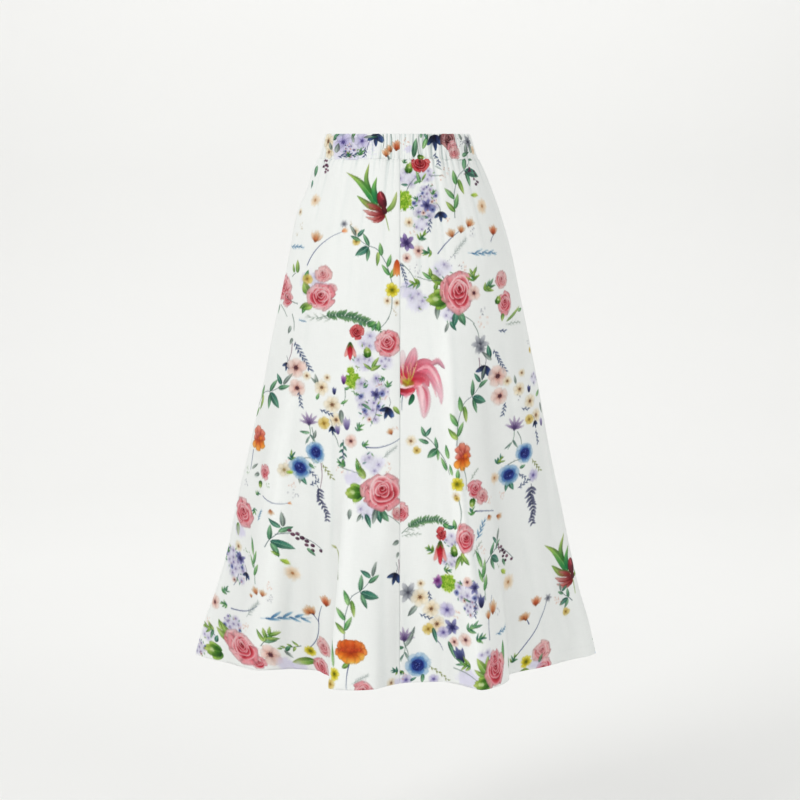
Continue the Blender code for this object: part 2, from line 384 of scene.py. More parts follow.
def along(rows, x, v):
    """The sum of what the rows give at the cloth's points: each is strongest on its own line down the cloth."""
    out = np.zeros(len(x))
    for line, left, right, high in rows:
        ys, xs = np.array([p[1] for p in line]) / 1000, np.array([p[0] for p in line]) / 1000
        centre = smooth(ys, xs, np.clip(v, ys[0], ys[-1])) if len(line) > 2 else np.interp(v, ys, xs)
        t = np.clip((v - ys[0]) / (ys[-1] - ys[0]), -0.2, 1.2)
        fade = np.clip((t + 0.06) / 0.24, 0, 1) * np.clip((1.06 - t) / 0.24, 0, 1)
        fade = fade * fade * (3 - 2 * fade)
        d = x - centre
        out += high * fade * np.exp(-((d / np.where(d < 0, left / 1000, right / 1000)) ** 2))
    return out


def panel_form(wall, s, v):
    """How far a panel's cloth stands out of the body's surface: gathers, creases, seams and hem."""
    x, _ = wall.cloth_xy(s, v)
    turn = wall.degrees(s, v)
    width = wall.across(v)
    below = v - BAND_HEIGHT
    strength = smooth([g[0] for g in GATHERING], [g[1] for g in GATHERING], turn, FULL_TURN)
    out = np.zeros(len(s))
    rng = np.random.default_rng(9)
    for (at, high), tall, fades in zip(RIDGES, (0.0017, 0.0024, 0.0034), (0.015, 0.040, 0.110)):
        lean = rng.uniform(-1, 1) * 4 * below
        out += tall * strength * (puckered(at, high, turn + lean) - 0.35) * np.exp(-np.maximum(below, 0) / fades)
    side = np.minimum(s, 1 - s) * width  # to the nearest upright seam
    calm = 1 - np.exp(-((side / 0.022) ** 2))
    out += calm * (0.0010 * slow_noise(x, v, 0.055, 0.170, 21) + 0.00022 * slow_noise(x, v, 0.020, 0.050, 22))
    out += along(CREASES[wall.name], x, v) / 1000
    # the upright seams draw the cloth in, with small puckers along them
    wave = 0.5 + 0.5 * np.cos(v * 2 * np.pi / 0.0135 + 2.2 * np.sin(v * 47) + wall.top)
    out -= 0.0007 * np.exp(-((side / 0.0016) ** 2)) + 0.00035 * wave * np.exp(-((side / 0.006) ** 2)) * (side > 0)
    # the band's folds run out in the cloth under it
    for _, at_x, half, deep in BAND_FOLDS[BAND_OF[wall.name]]:
        spread = half * (1 + 22 * np.maximum(below, 0))
        out -= deep / 1000 * np.exp(-(((x * 1000 - at_x * (1 + 1.5 * below)) / spread) ** 2)) * np.exp(-np.maximum(below, 0) / (0.009 + 0.005 * deep))
    # the panel's top turns in under the band
    out -= 0.0016 * np.exp(-((np.maximum(below, 0) / 0.0016) ** 2))
    # the turned hem: a little proud, under a sunken row of stitches
    rise = wall.bottom - v
    out += 0.00028 * np.clip((0.0195 - rise) / 0.0016, 0, 1)
    out -= 0.00050 * np.exp(-(((rise - 0.0195) / 0.0009) ** 2)) * (0.75 + 0.25 * np.cos(x * 2 * np.pi / 0.0031))
    out -= 0.00030 * np.exp(-((rise / 0.0009) ** 2))
    return out


def band_form(wall, s, v):
    """The band's puckers: the elastic gathers the doubled cloth into uneven upright folds."""
    turn = wall.degrees(s, v)
    strength = smooth([g[0] for g in GATHERING], [g[1] for g in GATHERING], turn, FULL_TURN)
    t = v / BAND_HEIGHT
    sway = 1.3 * np.sin(turn * 0.31) * (t - 0.5) + 0.7 * np.sin(turn * 0.83 + 1.0) * (t - 0.5)
    top, low = (puckered(*r, turn + sway) for r in BAND_RIDGES[:2])
    wide = puckered(*BAND_RIDGES[2], turn - sway)
    mixed = top * (1 - t) + low * t
    mixed = np.maximum(mixed, 0.55 * np.maximum(top, low))
    out = 0.0026 * strength * (mixed - 0.55) + 0.0026 * strength * (wide - 0.5)
    out += 0.0006 * (1 - (2 * t - 1) ** 2)  # fullest at mid height
    x, _ = wall.cloth_xy(s, v)
    for top_x, low_x, half, deep in BAND_FOLDS[wall.name]:
        off = x * 1000 - (top_x + (low_x - top_x) * t + 0.8 * np.sin(3.5 * t + top_x))
        out -= deep / 1000 * (0.75 + 0.25 * t) * np.exp(-((off / half) ** 2))
    rim = np.minimum(v, wall.bottom - v)
    out -= 0.0008 * np.exp(-((rim / 0.0010) ** 2))  # the folded edges are round
    side = np.minimum(s, 1 - s) * wall.across(v)
    out -= 0.0008 * np.exp(-((side / 0.0014) ** 2))
    return out



# ---------------------------------------------------------------- meshes that are finer where the print is
def halve(tri, mark, points):
    """Bisects the marked triangles across their first edge, and their neighbours as far as it takes to keep the mesh whole."""
    n = len(points)
    ab, bc, ca = (np.sort(tri[:, [i, j]], axis=1) for i, j in ((0, 1), (1, 2), (2, 0)))
    keys = np.concatenate([e[:, 0].astype(np.int64) * n + e[:, 1] for e in (ab, bc, ca)])
    edge, back = np.unique(keys, return_inverse=True)
    back = back.reshape(3, -1)
    cut = np.zeros(len(edge), bool)
    cut[back[0][mark]] = True
    while True:
        need = (cut[back[1]] | cut[back[2]]) & ~cut[back[0]]
        if not need.any():
            break
        cut[back[0][need]] = True
    new = np.full(len(edge), -1, np.int64)
    new[cut] = n + np.arange(cut.sum())
    low, high = edge[cut] // n, edge[cut] % n
    points = np.concatenate((points, (points[low] + points[high]) / 2))
    split = cut[back[0]]
    keep = tri[~split]
    a, b, c = tri[split].T
    m, mb, mc = new[back[0][split]], new[back[1][split]], new[back[2][split]]
    parts = [keep]
    one = np.stack((c, a, m), 1)  # across ca next
    two = np.stack((b, c, m), 1)  # across bc next
    again = mc >= 0
    parts.append(one[~again])
    c1, a1, m1, q = c[again], a[again], m[again], mc[again]
    parts += [np.stack((m1, c1, q), 1), np.stack((a1, m1, q), 1)]
    again = mb >= 0
    parts.append(two[~again])
    b2, c2, m2, q = b[again], c[again], m[again], mb[again]
    parts += [np.stack((m2, b2, q), 1), np.stack((c2, m2, q), 1)]
    return np.concatenate(parts), points


def base_grid(wall, columns, rows):
    """A coarse grid over a piece, as triangles whose first edge is the long one."""
    s, v = np.meshgrid(np.linspace(0, 1, columns + 1), np.linspace(wall.top, wall.bottom, rows + 1))
    points = np.stack((s.ravel(), v.ravel()), 1)
    i, j = np.meshgrid(np.arange(rows), np.arange(columns), indexing="ij")
    p = (i * (columns + 1) + j).ravel()
    a, b, c, d = p, p + 1, p + columns + 2, p + columns + 1
    # the diagonal turns from cell to cell, so that every corner is shared evenly
    even = ((i + j) % 2 == 0).ravel()
    tri = [np.stack((a, c, b), 1)[even], np.stack((c, a, d), 1)[even], np.stack((b, d, c), 1)[~even], np.stack((d, b, a), 1)[~even]]
    return np.concatenate(tri), points


def detail_levels(cloth):
    """How much the colour changes from point to point, averaged over wider and wider squares."""
    px = cloth.px
    change = np.zeros(px.shape[:2], np.float32)
    change[:-1] += np.abs(np.diff(px, axis=0)).sum(-1)
    change[:, :-1] += np.abs(np.diff(px, axis=1)).sum(-1)
    change = np.maximum(change - 9.0, 0) / STEP  # per mm, past the faint grain
    levels = [change]
    while min(levels[-1].shape) > 8:
        a = levels[-1]
        a = a[: a.shape[0] // 2 * 2, : a.shape[1] // 2 * 2]
        levels.append((a[::2, ::2] + a[1::2, ::2] + a[::2, 1::2] + a[1::2, 1::2]) / 4)
    return levels


def grow_mesh(wall, columns, rows, coarsest, cloth=None, budget=0, finest=0.0007):
    """The piece's triangles: none longer than coarsest(point) says, then smallest where the print changes most."""
    tri, points = base_grid(wall, columns, rows)

    def lengths(tri, points):
        m = points[tri[:, :2]]
        mid = m.mean(1)
        wide = wall.across(mid[:, 1])
        d = m[:, 0] - m[:, 1]
        return np.hypot(d[:, 0] * wide, d[:, 1]), mid

    for _ in range(40):
        long_, mid = lengths(tri, points)
        mark = long_ > coarsest(wall, mid)
        if not mark.any():
            break
        tri, points = halve(tri, mark, points)
    if cloth is None:
        return tri, points
    levels = detail_levels(cloth)
    threshold = None
    for _ in range(60):
        long_, mid = lengths(tri, points)
        centre = points[tri].mean(1)
        u, v = wall.cloth_xy(centre[:, 0], centre[:, 1])
        level = np.clip(np.round(np.log2(np.maximum(long_ * 1000 * 0.8 / STEP, 1.0))).astype(int), 0, len(levels) - 1)
        worth = np.zeros(len(tri), np.float32)
        for k in np.unique(level):
            here = level == k
            table = levels[k]
            scale = STEP * 2**k
            i = np.clip(((v[here] * 1000 - cloth.y0) / scale).astype(int), 0, table.shape[0] - 1)
            j = np.clip(((u[here] * 1000 - cloth.x0) / scale).astype(int), 0, table.shape[1] - 1)
            worth[here] = table[i, j]
        worth = worth * long_**2.5
        worth[long_ < finest * 1.4] = 0
        if not (worth > 0).any():
            break
        if threshold is None:
            threshold = np.percentile(worth[worth > 0], 97)
        mark = worth > threshold
        room = budget - len(tri)
        if room < 2000:
            break
        if mark.sum() * 2.3 > room:
            count = int(room / 2.3)
            order = np.argpartition(-worth, count)[:count]
            mark = np.zeros(len(tri), bool)
            mark[order] = worth[order] > 0
        if mark.sum() < 400:
            threshold *= 0.6
            if threshold < 1e-12:
                break
            continue
        tri, points = halve(tri, mark, points)
        threshold *= 0.93
    return tri, points


def border(tri, points, wall):
    """The mesh's border points in order: along the top, down the last side, back along the hem and up the first side."""
    s, v = points[:, 0], points[:, 1]
    top = np.flatnonzero(v < wall.top + 1e-9)
    low = np.flatnonzero(v > wall.bottom - 1e-9)
    left, right = np.flatnonzero(s < 1e-9), np.flatnonzero(s > 1 - 1e-9)
    sides = (top[np.argsort(s[top])], right[np.argsort(v[right])], low[np.argsort(-s[low])], left[np.argsort(-v[left])])
    return [list(q) for q in sides]


def zip_rim(outer, inner, outer_at, inner_at):
    """Triangles between two lines of points that run the same way, matched by how far along they are."""
    faces, i, j = [], 0, 0
    while i < len(outer) - 1 or j < len(inner) - 1:
        if j == len(inner) - 1 or (i < len(outer) - 1 and outer_at[i + 1] <= inner_at[j + 1]):
            faces.append((outer[i], outer[i + 1], inner[j]))
            i += 1
        else:
            faces.append((outer[i], inner[j + 1], inner[j]))
            j += 1
    return faces


def linear(srgb):
    c = np.clip(srgb, 0, 255) / 255
    return np.where(c <= 0.04045, c / 12.92, ((c + 0.055) / 1.055) ** 2.4)


def soften(px):
    """The painted cloth with each point mixed with its neighbours, for the wider triangles."""
    out = px.copy()
    for axis in (0, 1):
        a = np.roll(out, 1, axis)
        b = np.roll(out, -1, axis)
        out = out * 0.5 + (a + b) * 0.25
    return out


def colours_at(cloth, u, v, width):
    """The print at these places of the cloth, softened over each one's own width in mm."""
    if not hasattr(cloth, "soft"):
        one = soften(cloth.px)
        cloth.soft = (cloth.px, one, soften(soften(soften(one))), None)
    x, y = (u * 1000 - cloth.x0) / STEP, (v * 1000 - cloth.y0) / STEP
    i = np.clip(y.astype(int), 0, cloth.h - 2)
    j = np.clip(x.astype(int), 0, cloth.w - 2)
    fy, fx = np.clip(y - i, 0, 1)[:, None], np.clip(x - j, 0, 1)[:, None]
    found = []
    for px in cloth.soft[:3]:
        found.append((px[i, j] * (1 - fx) + px[i, j + 1] * fx) * (1 - fy) + (px[i + 1, j] * (1 - fx) + px[i + 1, j + 1] * fx) * fy)
    k = np.clip((width - 0.8) / 1.6, 0, 1)[:, None] * 2
    dyed = np.where(k < 1, found[0] * (1 - k) + found[1] * k, found[1] * (2 - k) + found[2] * (k - 1))
    # the dye sinks in: every colour a little deeper than it was painted, the bare ground as it is
    ground = np.array(GROUND, float)
    return ground * (np.clip(dyed, 4, 255) / ground) ** DEPTH


def build_piece(name, wall, cloth, thick, relief, columns, rows, coarsest, budget, material):
    """A closed shell of cloth: a fine printed outer side, a plainer inner side and the rims between them."""
    tri, points = grow_mesh(wall, columns, rows, coarsest, cloth, budget)
    tri_in, points_in = grow_mesh(wall, columns, rows, lambda w, p: coarsest(w, p) * np.interp(coarsest(w, p), (0.0024, 0.0050), (1.35, 1.75)))

    def place(points, sink):
        s, v = points[:, 0], points[:, 1]
        p, n = wall.point_normal(s, v)
        out = relief(wall, s, v)
        return p + n * (out - sink)[:, None]

    outer, inner = place(points, 0.0), place(points_in, thick)
    count = len(points)
    # the width of the triangles round each point, for how sharp its colour is
    size = np.zeros(count)
    hits = np.zeros(count)
    area = np.abs(np.cross(outer[tri[:, 1]] - outer[tri[:, 0]], outer[tri[:, 2]] - outer[tri[:, 0]])).sum(1) ** 0.5 * 1000
    for k in range(3):
        np.add.at(size, tri[:, k], area)
        np.add.at(hits, tri[:, k], 1)
    size /= np.maximum(hits, 1)
    u, v = wall.cloth_xy(points[:, 0], points[:, 1])
    ui, vi = wall.cloth_xy(points_in[:, 0], points_in[:, 1])
    front = linear(colours_at(cloth, u, v, size))
    # painted shade: the hollows between gathers and creases are darkened in the colour
    band = "waistband" in name
    s_at, v_at = points[:, 0], points[:, 1]
    step = (0.0026 if band else 0.0045) / wall.across(v_at)
    sides = (relief(wall, np.clip(s_at - step, 0, 1), v_at) + relief(wall, np.clip(s_at + step, 0, 1), v_at)) / 2
    hollow = np.clip((sides - relief(wall, s_at, v_at)) / (0.0016 if band else 0.0009), 0, 1)
    front *= 1 - hollow[:, None] * np.array(HOLLOW_BAND if band else HOLLOW_PANEL)
    if not band:
        # painted shade in the valleys between the wide folds too, a little, and painted light on the crests; the listed
        # stretches add more painted shade and light
        reach = np.minimum(0.026 / wall.across(v_at), np.minimum(s_at, 1 - s_at))
        p, n = wall.point_normal(s_at, v_at)
        chord = (wall.point(s_at - reach, v_at) + wall.point(s_at + reach, v_at)) / 2
        deep = ((chord - p) * n).sum(1)
        deep += (relief(wall, s_at - reach, v_at) + relief(wall, s_at + reach, v_at)) / 2 - relief(wall, s_at, v_at)
        shade = FOLD_SHADE * np.clip((deep + 0.002) / 0.007, -0.6, 1) + along(SHADES[wall.name], u, v_at)
        front *= 1 - shade[:, None]
    behind = linear(colours_at(cloth, ui, vi, np.full(len(ui), 2.0)))
    pale = linear(np.array(GROUND, float)) * 0.97
    behind = pale + (behind - pale) * 0.30  # the print shows faintly through the cloth
    co = np.concatenate((outer, inner))
    rgb = np.concatenate((front, behind))
    # turn the triangles so that the outer side faces out
    a, b, c = outer[tri[:2000, 0]], outer[tri[:2000, 1]], outer[tri[:2000, 2]]
    facing = (np.cross(b - a, c - a)[:, :2] * (a + b + c)[:, :2]).sum()
    if facing < 0:
        tri, tri_in = tri[:, ::-1], tri_in[:, ::-1]
    faces = [tri, tri_in[:, ::-1] + count]
    rims = []
    keys = (0, 1, 0, 1)
    for k, (o, i) in enumerate(zip(border(tri, points, wall), border(tri_in, points_in, wall))):
        at, at_in = points[o][:, keys[k]], points_in[i][:, keys[k]]
        if k >= 2:
            at, at_in = -at, -at_in
        rims += zip_rim(o, [q + count for q in i], at, at_in)
    rims = np.array(rims)
    a, b, c = co[rims[:, 0]], co[rims[:, 1]], co[rims[:, 2]]
    # a rim faces away from the cloth's middle: test the hem's, which faces down
    normal = np.cross(b - a, c - a)
    hem = (co[rims][:, :, 2] < -wall.bottom + 0.004).all(1)
    if normal[hem, 2].sum() > 0:
        rims = rims[:, ::-1]
    faces.append(rims)
    loops = np.concatenate(faces)
    mesh = bpy.data.meshes.new(name)
    mesh.vertices.add(len(co))
    mesh.vertices.foreach_set("co", co.astype(np.float32).ravel())
    mesh.loops.add(loops.size)
    mesh.loops.foreach_set("vertex_index", loops.astype(np.int32).ravel())
    mesh.polygons.add(len(loops))
    mesh.polygons.foreach_set("loop_start", np.arange(0, loops.size, 3, dtype=np.int32))
    mesh.update(calc_edges=True)
    mesh.validate()
    # the print with its painted shade and light, and each point's place on the flat cloth for the weave
    print_and_shade = mesh.attributes.new("print", "FLOAT_COLOR", "POINT")
    print_and_shade.data.foreach_set("color", np.concatenate((rgb, np.ones((len(rgb), 1))), 1).astype(np.float32).ravel())
    flat = mesh.attributes.new("cloth_xy", "FLOAT_VECTOR", "POINT")
    where = np.concatenate((np.stack((u, v, np.zeros(len(u))), 1), np.stack((ui, vi, np.ones(len(ui)) * 0.01), 1)))
    flat.data.foreach_set("vector", where.astype(np.float32).ravel())
    # a map for baking: the outer side fills most of it, the inner side a strip, the rims a thin line
    uv = np.zeros((loops.size, 2), np.float32)
    n_out, n_in = tri.size, tri_in.size
    span = wall.bottom - wall.top
    uv[:n_out, 0] = 0.004 + 0.992 * points[tri.ravel(), 0]
    uv[:n_out, 1] = 0.150 + 0.846 * (1 - (points[tri.ravel(), 1] - wall.top) / span)
    back_index = tri_in[:, ::-1].ravel()
    uv[n_out : n_out + n_in, 0] = 0.004 + 0.992 * points_in[back_index, 0]
    uv[n_out : n_out + n_in, 1] = 0.020 + 0.118 * (1 - (points_in[back_index, 1] - wall.top) / span)
    both = np.concatenate((points, points_in))
    r = rims.ravel()
    uv[n_out + n_in :, 0] = 0.004 + 0.992 * (both[r, 0] * 0.3 + 0.7 * (both[r, 1] - wall.top) / span)
    uv[n_out + n_in :, 1] = 0.004 + 0.008 * (r >= count)
    layer = mesh.uv_layers.new(name="OFBake")
    layer.data.foreach_set("uv", uv.ravel())
    mesh.shade_smooth()
    mesh.materials.append(material)
    piece = bpy.data.objects.new(name, mesh)
    bpy.context.scene.collection.objects.link(piece)
    surface = float(np.linalg.norm(np.cross(outer[tri[:, 1]] - outer[tri[:, 0]], outer[tri[:, 2]] - outer[tri[:, 0]]), axis=1).sum() / 2)
    print(f"{name}: {len(loops)} triangles, {surface:.4f} m2")
    return piece, surface


# ---------------------------------------------------------------- painting the print
# (the flat cloth is painted in steps of STEP mm, in screen colours from 0 to 255)
ROSE = ((182, 26, 42), (236, 120, 134), (254, 218, 218))
PALE_ROSE = ((206, 98, 106), (237, 164, 166), (252, 220, 216))
MAROON = ((70, 20, 32), (142, 62, 68), (216, 160, 156))
GREY = ((112, 124, 128), (180, 188, 190))
TONES = (
    ((52, 118, 82), (128, 186, 138)),
    ((66, 146, 72), (164, 212, 136)),
    ((28, 98, 82), (88, 158, 128)),
    ((92, 146, 46), (188, 214, 108)),
    ((104, 122, 116), (180, 194, 186)),
    ((196, 212, 208), (222, 232, 228)),
)
VINE_STEMS = (((0, 0), (1, -12), (2, -22), (6, -34), (10, -42), (18, -47), (25, -53), (30, -60)), ((18, -47), (20, -40)))
VINE_LEAVES = (
    (1, -6, -8, -17, 5.6, 3), (1, -9, 8, -23, 5.6, 1), (2, -19, -7, -31, 5.8, 1), (6, -33, 4, -48, 6.2, 1), (9, -38, 12, -22, 5.2, 3),
    (18, -47, 21, -63, 5.6, 0), (19, -46, 36, -38, 9.5, 2), (19, -44, 24, -30, 5.4, 0), (27, -55, 38, -62, 5.2, 0), (29, -60, 20, -68, 5.4, 2), (31, -61, 34, -76, 4.6, 4),
)
TOP_LEAVES = VINE_LEAVES[5:]


def noise_field(shape, scales, seed):
    """Smooth noise from 0 to 1, a sum of random grids enlarged to these scales, in points of the cloth."""
    rng = np.random.default_rng(seed)
    total, weight = np.zeros(shape), 0.0
    for scale, share in scales:
        rows, cols = int(shape[0] / scale) + 3, int(shape[1] / scale) + 3
        grid = rng.random((rows, cols))
        y, x = np.arange(shape[0]) / scale, np.arange(shape[1]) / scale
        iy, ix = y.astype(int), x.astype(int)
        fy, fx = y - iy, x - ix
        fy, fx = fy * fy * (3 - 2 * fy), fx * fx * (3 - 2 * fx)
        top = grid[iy][:, ix] * (1 - fx) + grid[iy][:, ix + 1] * fx
        low = grid[iy + 1][:, ix] * (1 - fx) + grid[iy + 1][:, ix + 1] * fx
        total += share * (top * (1 - fy)[:, None] + low * fy[:, None])
        weight += share
    return total / weight


class Cloth:
    """A stretch of cloth to print on, lying flat: x to the right and y down, in mm."""

    def __init__(self, x0, x1, y0, y1, seed):
        self.x0, self.y0 = x0, y0
        self.w, self.h = int((x1 - x0) / STEP) + 2, int((y1 - y0) / STEP) + 2
        self.px = np.empty((self.h, self.w, 3), np.float32)
        self.px[:] = GROUND
        self.grain = noise_field((self.h, self.w), ((2.4, 1.0), (6.0, 1.6), (18.0, 1.4)), seed).astype(np.float32)
        self.rng = np.random.default_rng(seed + 7)
        self.narrowed = (0.0, 1.0)

    def window(self, xa, xb, ya, yb):
        """The points in this range, after the motif in hand is narrowed about its middle."""
        middle, narrow = self.narrowed
        xa, xb = middle + (xa - middle) * narrow, middle + (xb - middle) * narrow
        i0, i1 = max(0, int((ya - self.y0) / STEP) - 1), min(self.h, int((yb - self.y0) / STEP) + 3)
        j0, j1 = max(0, int((xa - self.x0) / STEP) - 1), min(self.w, int((xb - self.x0) / STEP) + 3)
        if i1 <= i0 or j1 <= j0:
            return None
        y = self.y0 + np.arange(i0, i1, dtype=np.float32) * STEP
        x = middle + (self.x0 + np.arange(j0, j1, dtype=np.float32) * STEP - middle) / narrow
        return slice(i0, i1), slice(j0, j1), x[None, :], y[:, None]

    def lay(self, rows, cols, colour, alpha):
        part = self.px[rows, cols]
        part += (colour - part) * alpha[..., None]


def mix(a, b, t):
    a, b = np.asarray(a, np.float32), np.asarray(b, np.float32)
    return a + (b - a) * np.asarray(t, np.float32)[..., None]


def petal(cloth, x, y, angle, length, width, root, tip, round_=0.55, base=0.6, bend=0.0, edge=0.25, alpha=0.92, vein=0.0, wave=0.0, rib=None, half=0.0, wet=0.5, fade=0.0):
    """One petal or leaf from its base at x, y along the angle (degrees, 0 to the right, 90 down the cloth)."""
    reach = length * (1.05 + abs(bend) * 0.6) + width * 0.6
    found = cloth.window(x - reach, x + reach, y - reach, y + reach)
    if found is None:
        return
    rows, cols, gx, gy = found
    a = np.radians(angle)
    dx, dy = gx - x, gy - y
    along = dx * np.cos(a) + dy * np.sin(a)
    side = -dx * np.sin(a) + dy * np.cos(a)
    t = along / length
    inside = (t > -0.12) & (t < 1.12)
    if not inside.any():
        return
    side = side - bend * length * t * t
    tc = np.clip(t, 1e-4, 1 - 1e-4)
    peak = (base / (base + round_)) ** base * (round_ / (base + round_)) ** round_
    prof = width / 2 * tc**base * (1 - tc) ** round_ / peak
    if wave:
        k = cloth.rng.uniform(0, 6.28, 2)
        prof = prof * (1 + wave * np.sin(tc * 9 + k[0]) * 0.5 + wave * np.sin(tc * 17 + k[1] + side * 0.2) * 0.4)
    slope = (base / tc - round_ / (1 - tc)) * prof / length + 2 * bend * t
    gap = (prof - np.abs(side)) / np.sqrt(1 + np.minimum(slope**2, 9.0))
    gap = np.minimum(gap, np.minimum(t + 0.01, 1.01 - t) * length)
    cover = np.clip(gap / STEP * 0.9 + 0.5, 0, 1)
    if not cover.any():
        return
    grain = cloth.grain[rows, cols]
    s = np.clip(t, 0, 1)
    s = s * s * (3 - 2 * s)
    colour = mix(root, tip, np.clip(s + (grain - 0.5) * 0.5, 0, 1))
    if half:
        colour *= (1 - half * (side > 0) * np.clip(np.abs(side) / 0.6, 0, 1))[..., None]
    if vein:
        q = side / np.maximum(prof, 0.3)
        lines = 0.5 + 0.5 * np.cos(q * 14 + np.sin(t * 5))
        colour *= (1 - vein * lines * (1 - s * 0.6))[..., None]
    if rib is not None:
        line = np.clip(1 - np.abs(side) / 0.45, 0, 1) * np.clip((1.0 - t) * 3, 0, 1)
        colour += (np.asarray(rib, np.float32) - colour) * (line * 0.75)[..., None]
    rim = np.exp(-np.maximum(gap, 0) / (0.05 * width + 0.35))
    colour *= (1 - edge * rim)[..., None]
    colour *= (1 - 0.22 * wet * (grain - 0.5))[..., None]
    a_ = cover * alpha * (1 - wet * 0.35 * grain)
    if fade:
        a_ = a_ * (1 - fade * s)
    cloth.lay(rows, cols, np.clip(colour, 0, 255), np.clip(a_, 0, 1))


def stroke(cloth, points, w0, w1, colour, alpha=0.9, colour2=None):
    """A brush line through these points, its width going from w0 to w1."""
    p = np.asarray(points, np.float32)
    if len(p) > 2:  # a smooth line through the points
        n = (len(p) - 1) * 8 + 1
        t = np.linspace(0, len(p) - 1, n)
        i = np.clip(t.astype(int), 0, len(p) - 2)
        f = (t - i)[:, None]
        q = np.vstack((2 * p[0] - p[1], p, 2 * p[-1] - p[-2]))
        a, b, c, d = q[i], q[i + 1], q[i + 2], q[i + 3]
        p = 0.5 * (2 * b + (c - a) * f + (2 * a - 5 * b + 4 * c - d) * f**2 + (3 * b - a - 3 * c + d) * f**3)
    run = np.concatenate(([0], np.cumsum(np.hypot(*np.diff(p, axis=0).T))))
    run /= max(run[-1], 1e-6)
    pad = max(w0, w1) + 1
    for k in range(0, len(p) - 1, 4):
        seg = p[k : k + 5]
        if len(seg) < 2:
            continue
        found = cloth.window(seg[:, 0].min() - pad, seg[:, 0].max() + pad, seg[:, 1].min() - pad, seg[:, 1].max() + pad)
        if found is None:
            continue
        rows, cols, gx, gy = found
        best, where = None, None
        for m in range(len(seg) - 1):
            ax, ay = seg[m]
            bx, by = seg[m + 1]
            ll = max((bx - ax) ** 2 + (by - ay) ** 2, 1e-9)
            h = np.clip(((gx - ax) * (bx - ax) + (gy - ay) * (by - ay)) / ll, 0, 1)
            dist = np.hypot(gx - ax - h * (bx - ax), gy - ay - h * (by - ay))
            r = run[k + m] + h * (run[k + m + 1] - run[k + m])
            if best is None:
                best, where = dist, r
            else:
                near = dist < best
                best, where = np.where(near, dist, best), np.where(near, r, where)
        wide = (w0 + (w1 - w0) * where) / 2
        cover = np.clip((wide - best) / STEP * 0.9 + 0.5, 0, 1) * np.clip(wide * 2 / STEP, 0.25, 1)
        tone = mix(colour, colour2 if colour2 is not None else colour, where)
        done = cloth.px[rows, cols]
        cloth.lay(rows, cols, tone, cover * alpha)


def wash(cloth, x, y, rx, ry, colour, alpha=0.35, ragged=0.7, angle=0.0):
    """A soft, uneven pool of thin colour."""
    reach = max(rx, ry) * 1.5
    found = cloth.window(x - reach, x + reach, y - reach, y + reach)
    if found is None:
        return
    rows, cols, gx, gy = found
    a = np.radians(angle)
    dx, dy = gx - x, gy - y
    d = np.hypot((dx * np.cos(a) + dy * np.sin(a)) / rx, (-dx * np.sin(a) + dy * np.cos(a)) / ry)
    grain = cloth.grain[rows, cols]
    d = d + (grain - 0.5) * ragged * 1.6
    cover = np.clip((1.05 - d) * 2.2, 0, 1)
    cover = cover * cover * (3 - 2 * cover)
    tone = np.asarray(colour, np.float32) * (1 - 0.15 * (grain - 0.5))[..., None]
    cloth.lay(rows, cols, tone, cover * alpha)


def dab(cloth, x, y, r, colour, alpha=0.9, squash=1.0, angle=0.0, soft=1.0):
    found = cloth.window(x - r * 1.3, x + r * 1.3, y - r * 1.3, y + r * 1.3)
    if found is None:
        return
    rows, cols, gx, gy = found
    a = np.radians(angle)
    dx, dy = gx - x, gy - y
    d = np.hypot(dx * np.cos(a) + dy * np.sin(a), (-dx * np.sin(a) + dy * np.cos(a)) / squash)
    cover = np.clip((r - d) / (STEP * soft) * 0.9 + 0.5, 0, 1)
    tone = np.asarray(colour, np.float32) * (1 + 0.12 * np.clip(d / r, 0, 1) ** 2 * 0 - 0.18 * np.clip(d / r, 0, 1) ** 3 + 0.1 * (cloth.grain[rows, cols] - 0.5))[..., None]
    cloth.lay(rows, cols, np.clip(tone, 0, 255), cover * alpha)


def polar(x, y, angle, r):
    a = np.radians(angle)
    return x + r * np.cos(a), y + r * np.sin(a)


def bud_leaf(cloth, x, y, size, angle=0):
    """A broad lime leaf folded along its middle, deep green at its foot, with small ones round the foot."""
    size = size * 0.92
    foot = polar(x, y, angle, -size * 0.85)
    for da, long_, wide, root, tip in (
        (-78, 0.95, 0.46, (40, 98, 52), (128, 172, 84)),
        (66, 0.90, 0.42, (58, 118, 44), (160, 196, 84)),
        (-20, 1.62, 0.98, (26, 86, 30), (128, 172, 60)),
        (22, 1.66, 0.96, (52, 116, 30), (190, 214, 92)),
        (2, 1.92, 0.92, (66, 128, 34), (206, 224, 118)),
    ):
        petal(cloth, *foot, angle + da, size * long_, size * wide, root, tip, round_=0.72, base=0.42, bend=-da / 160, edge=0.26, alpha=0.95, rib=(214, 230, 150), vein=0.16, wave=0.09)
    wash(cloth, *polar(x, y, angle + 40, size * 0.12), size * 0.34, size * 0.24, (240, 240, 214), 0.62)


def blue_small(cloth, x, y, size):
    small_flower(cloth, x, y, size, (150, 162, 208), (84, 92, 160), (60, 54, 110), petals=5)


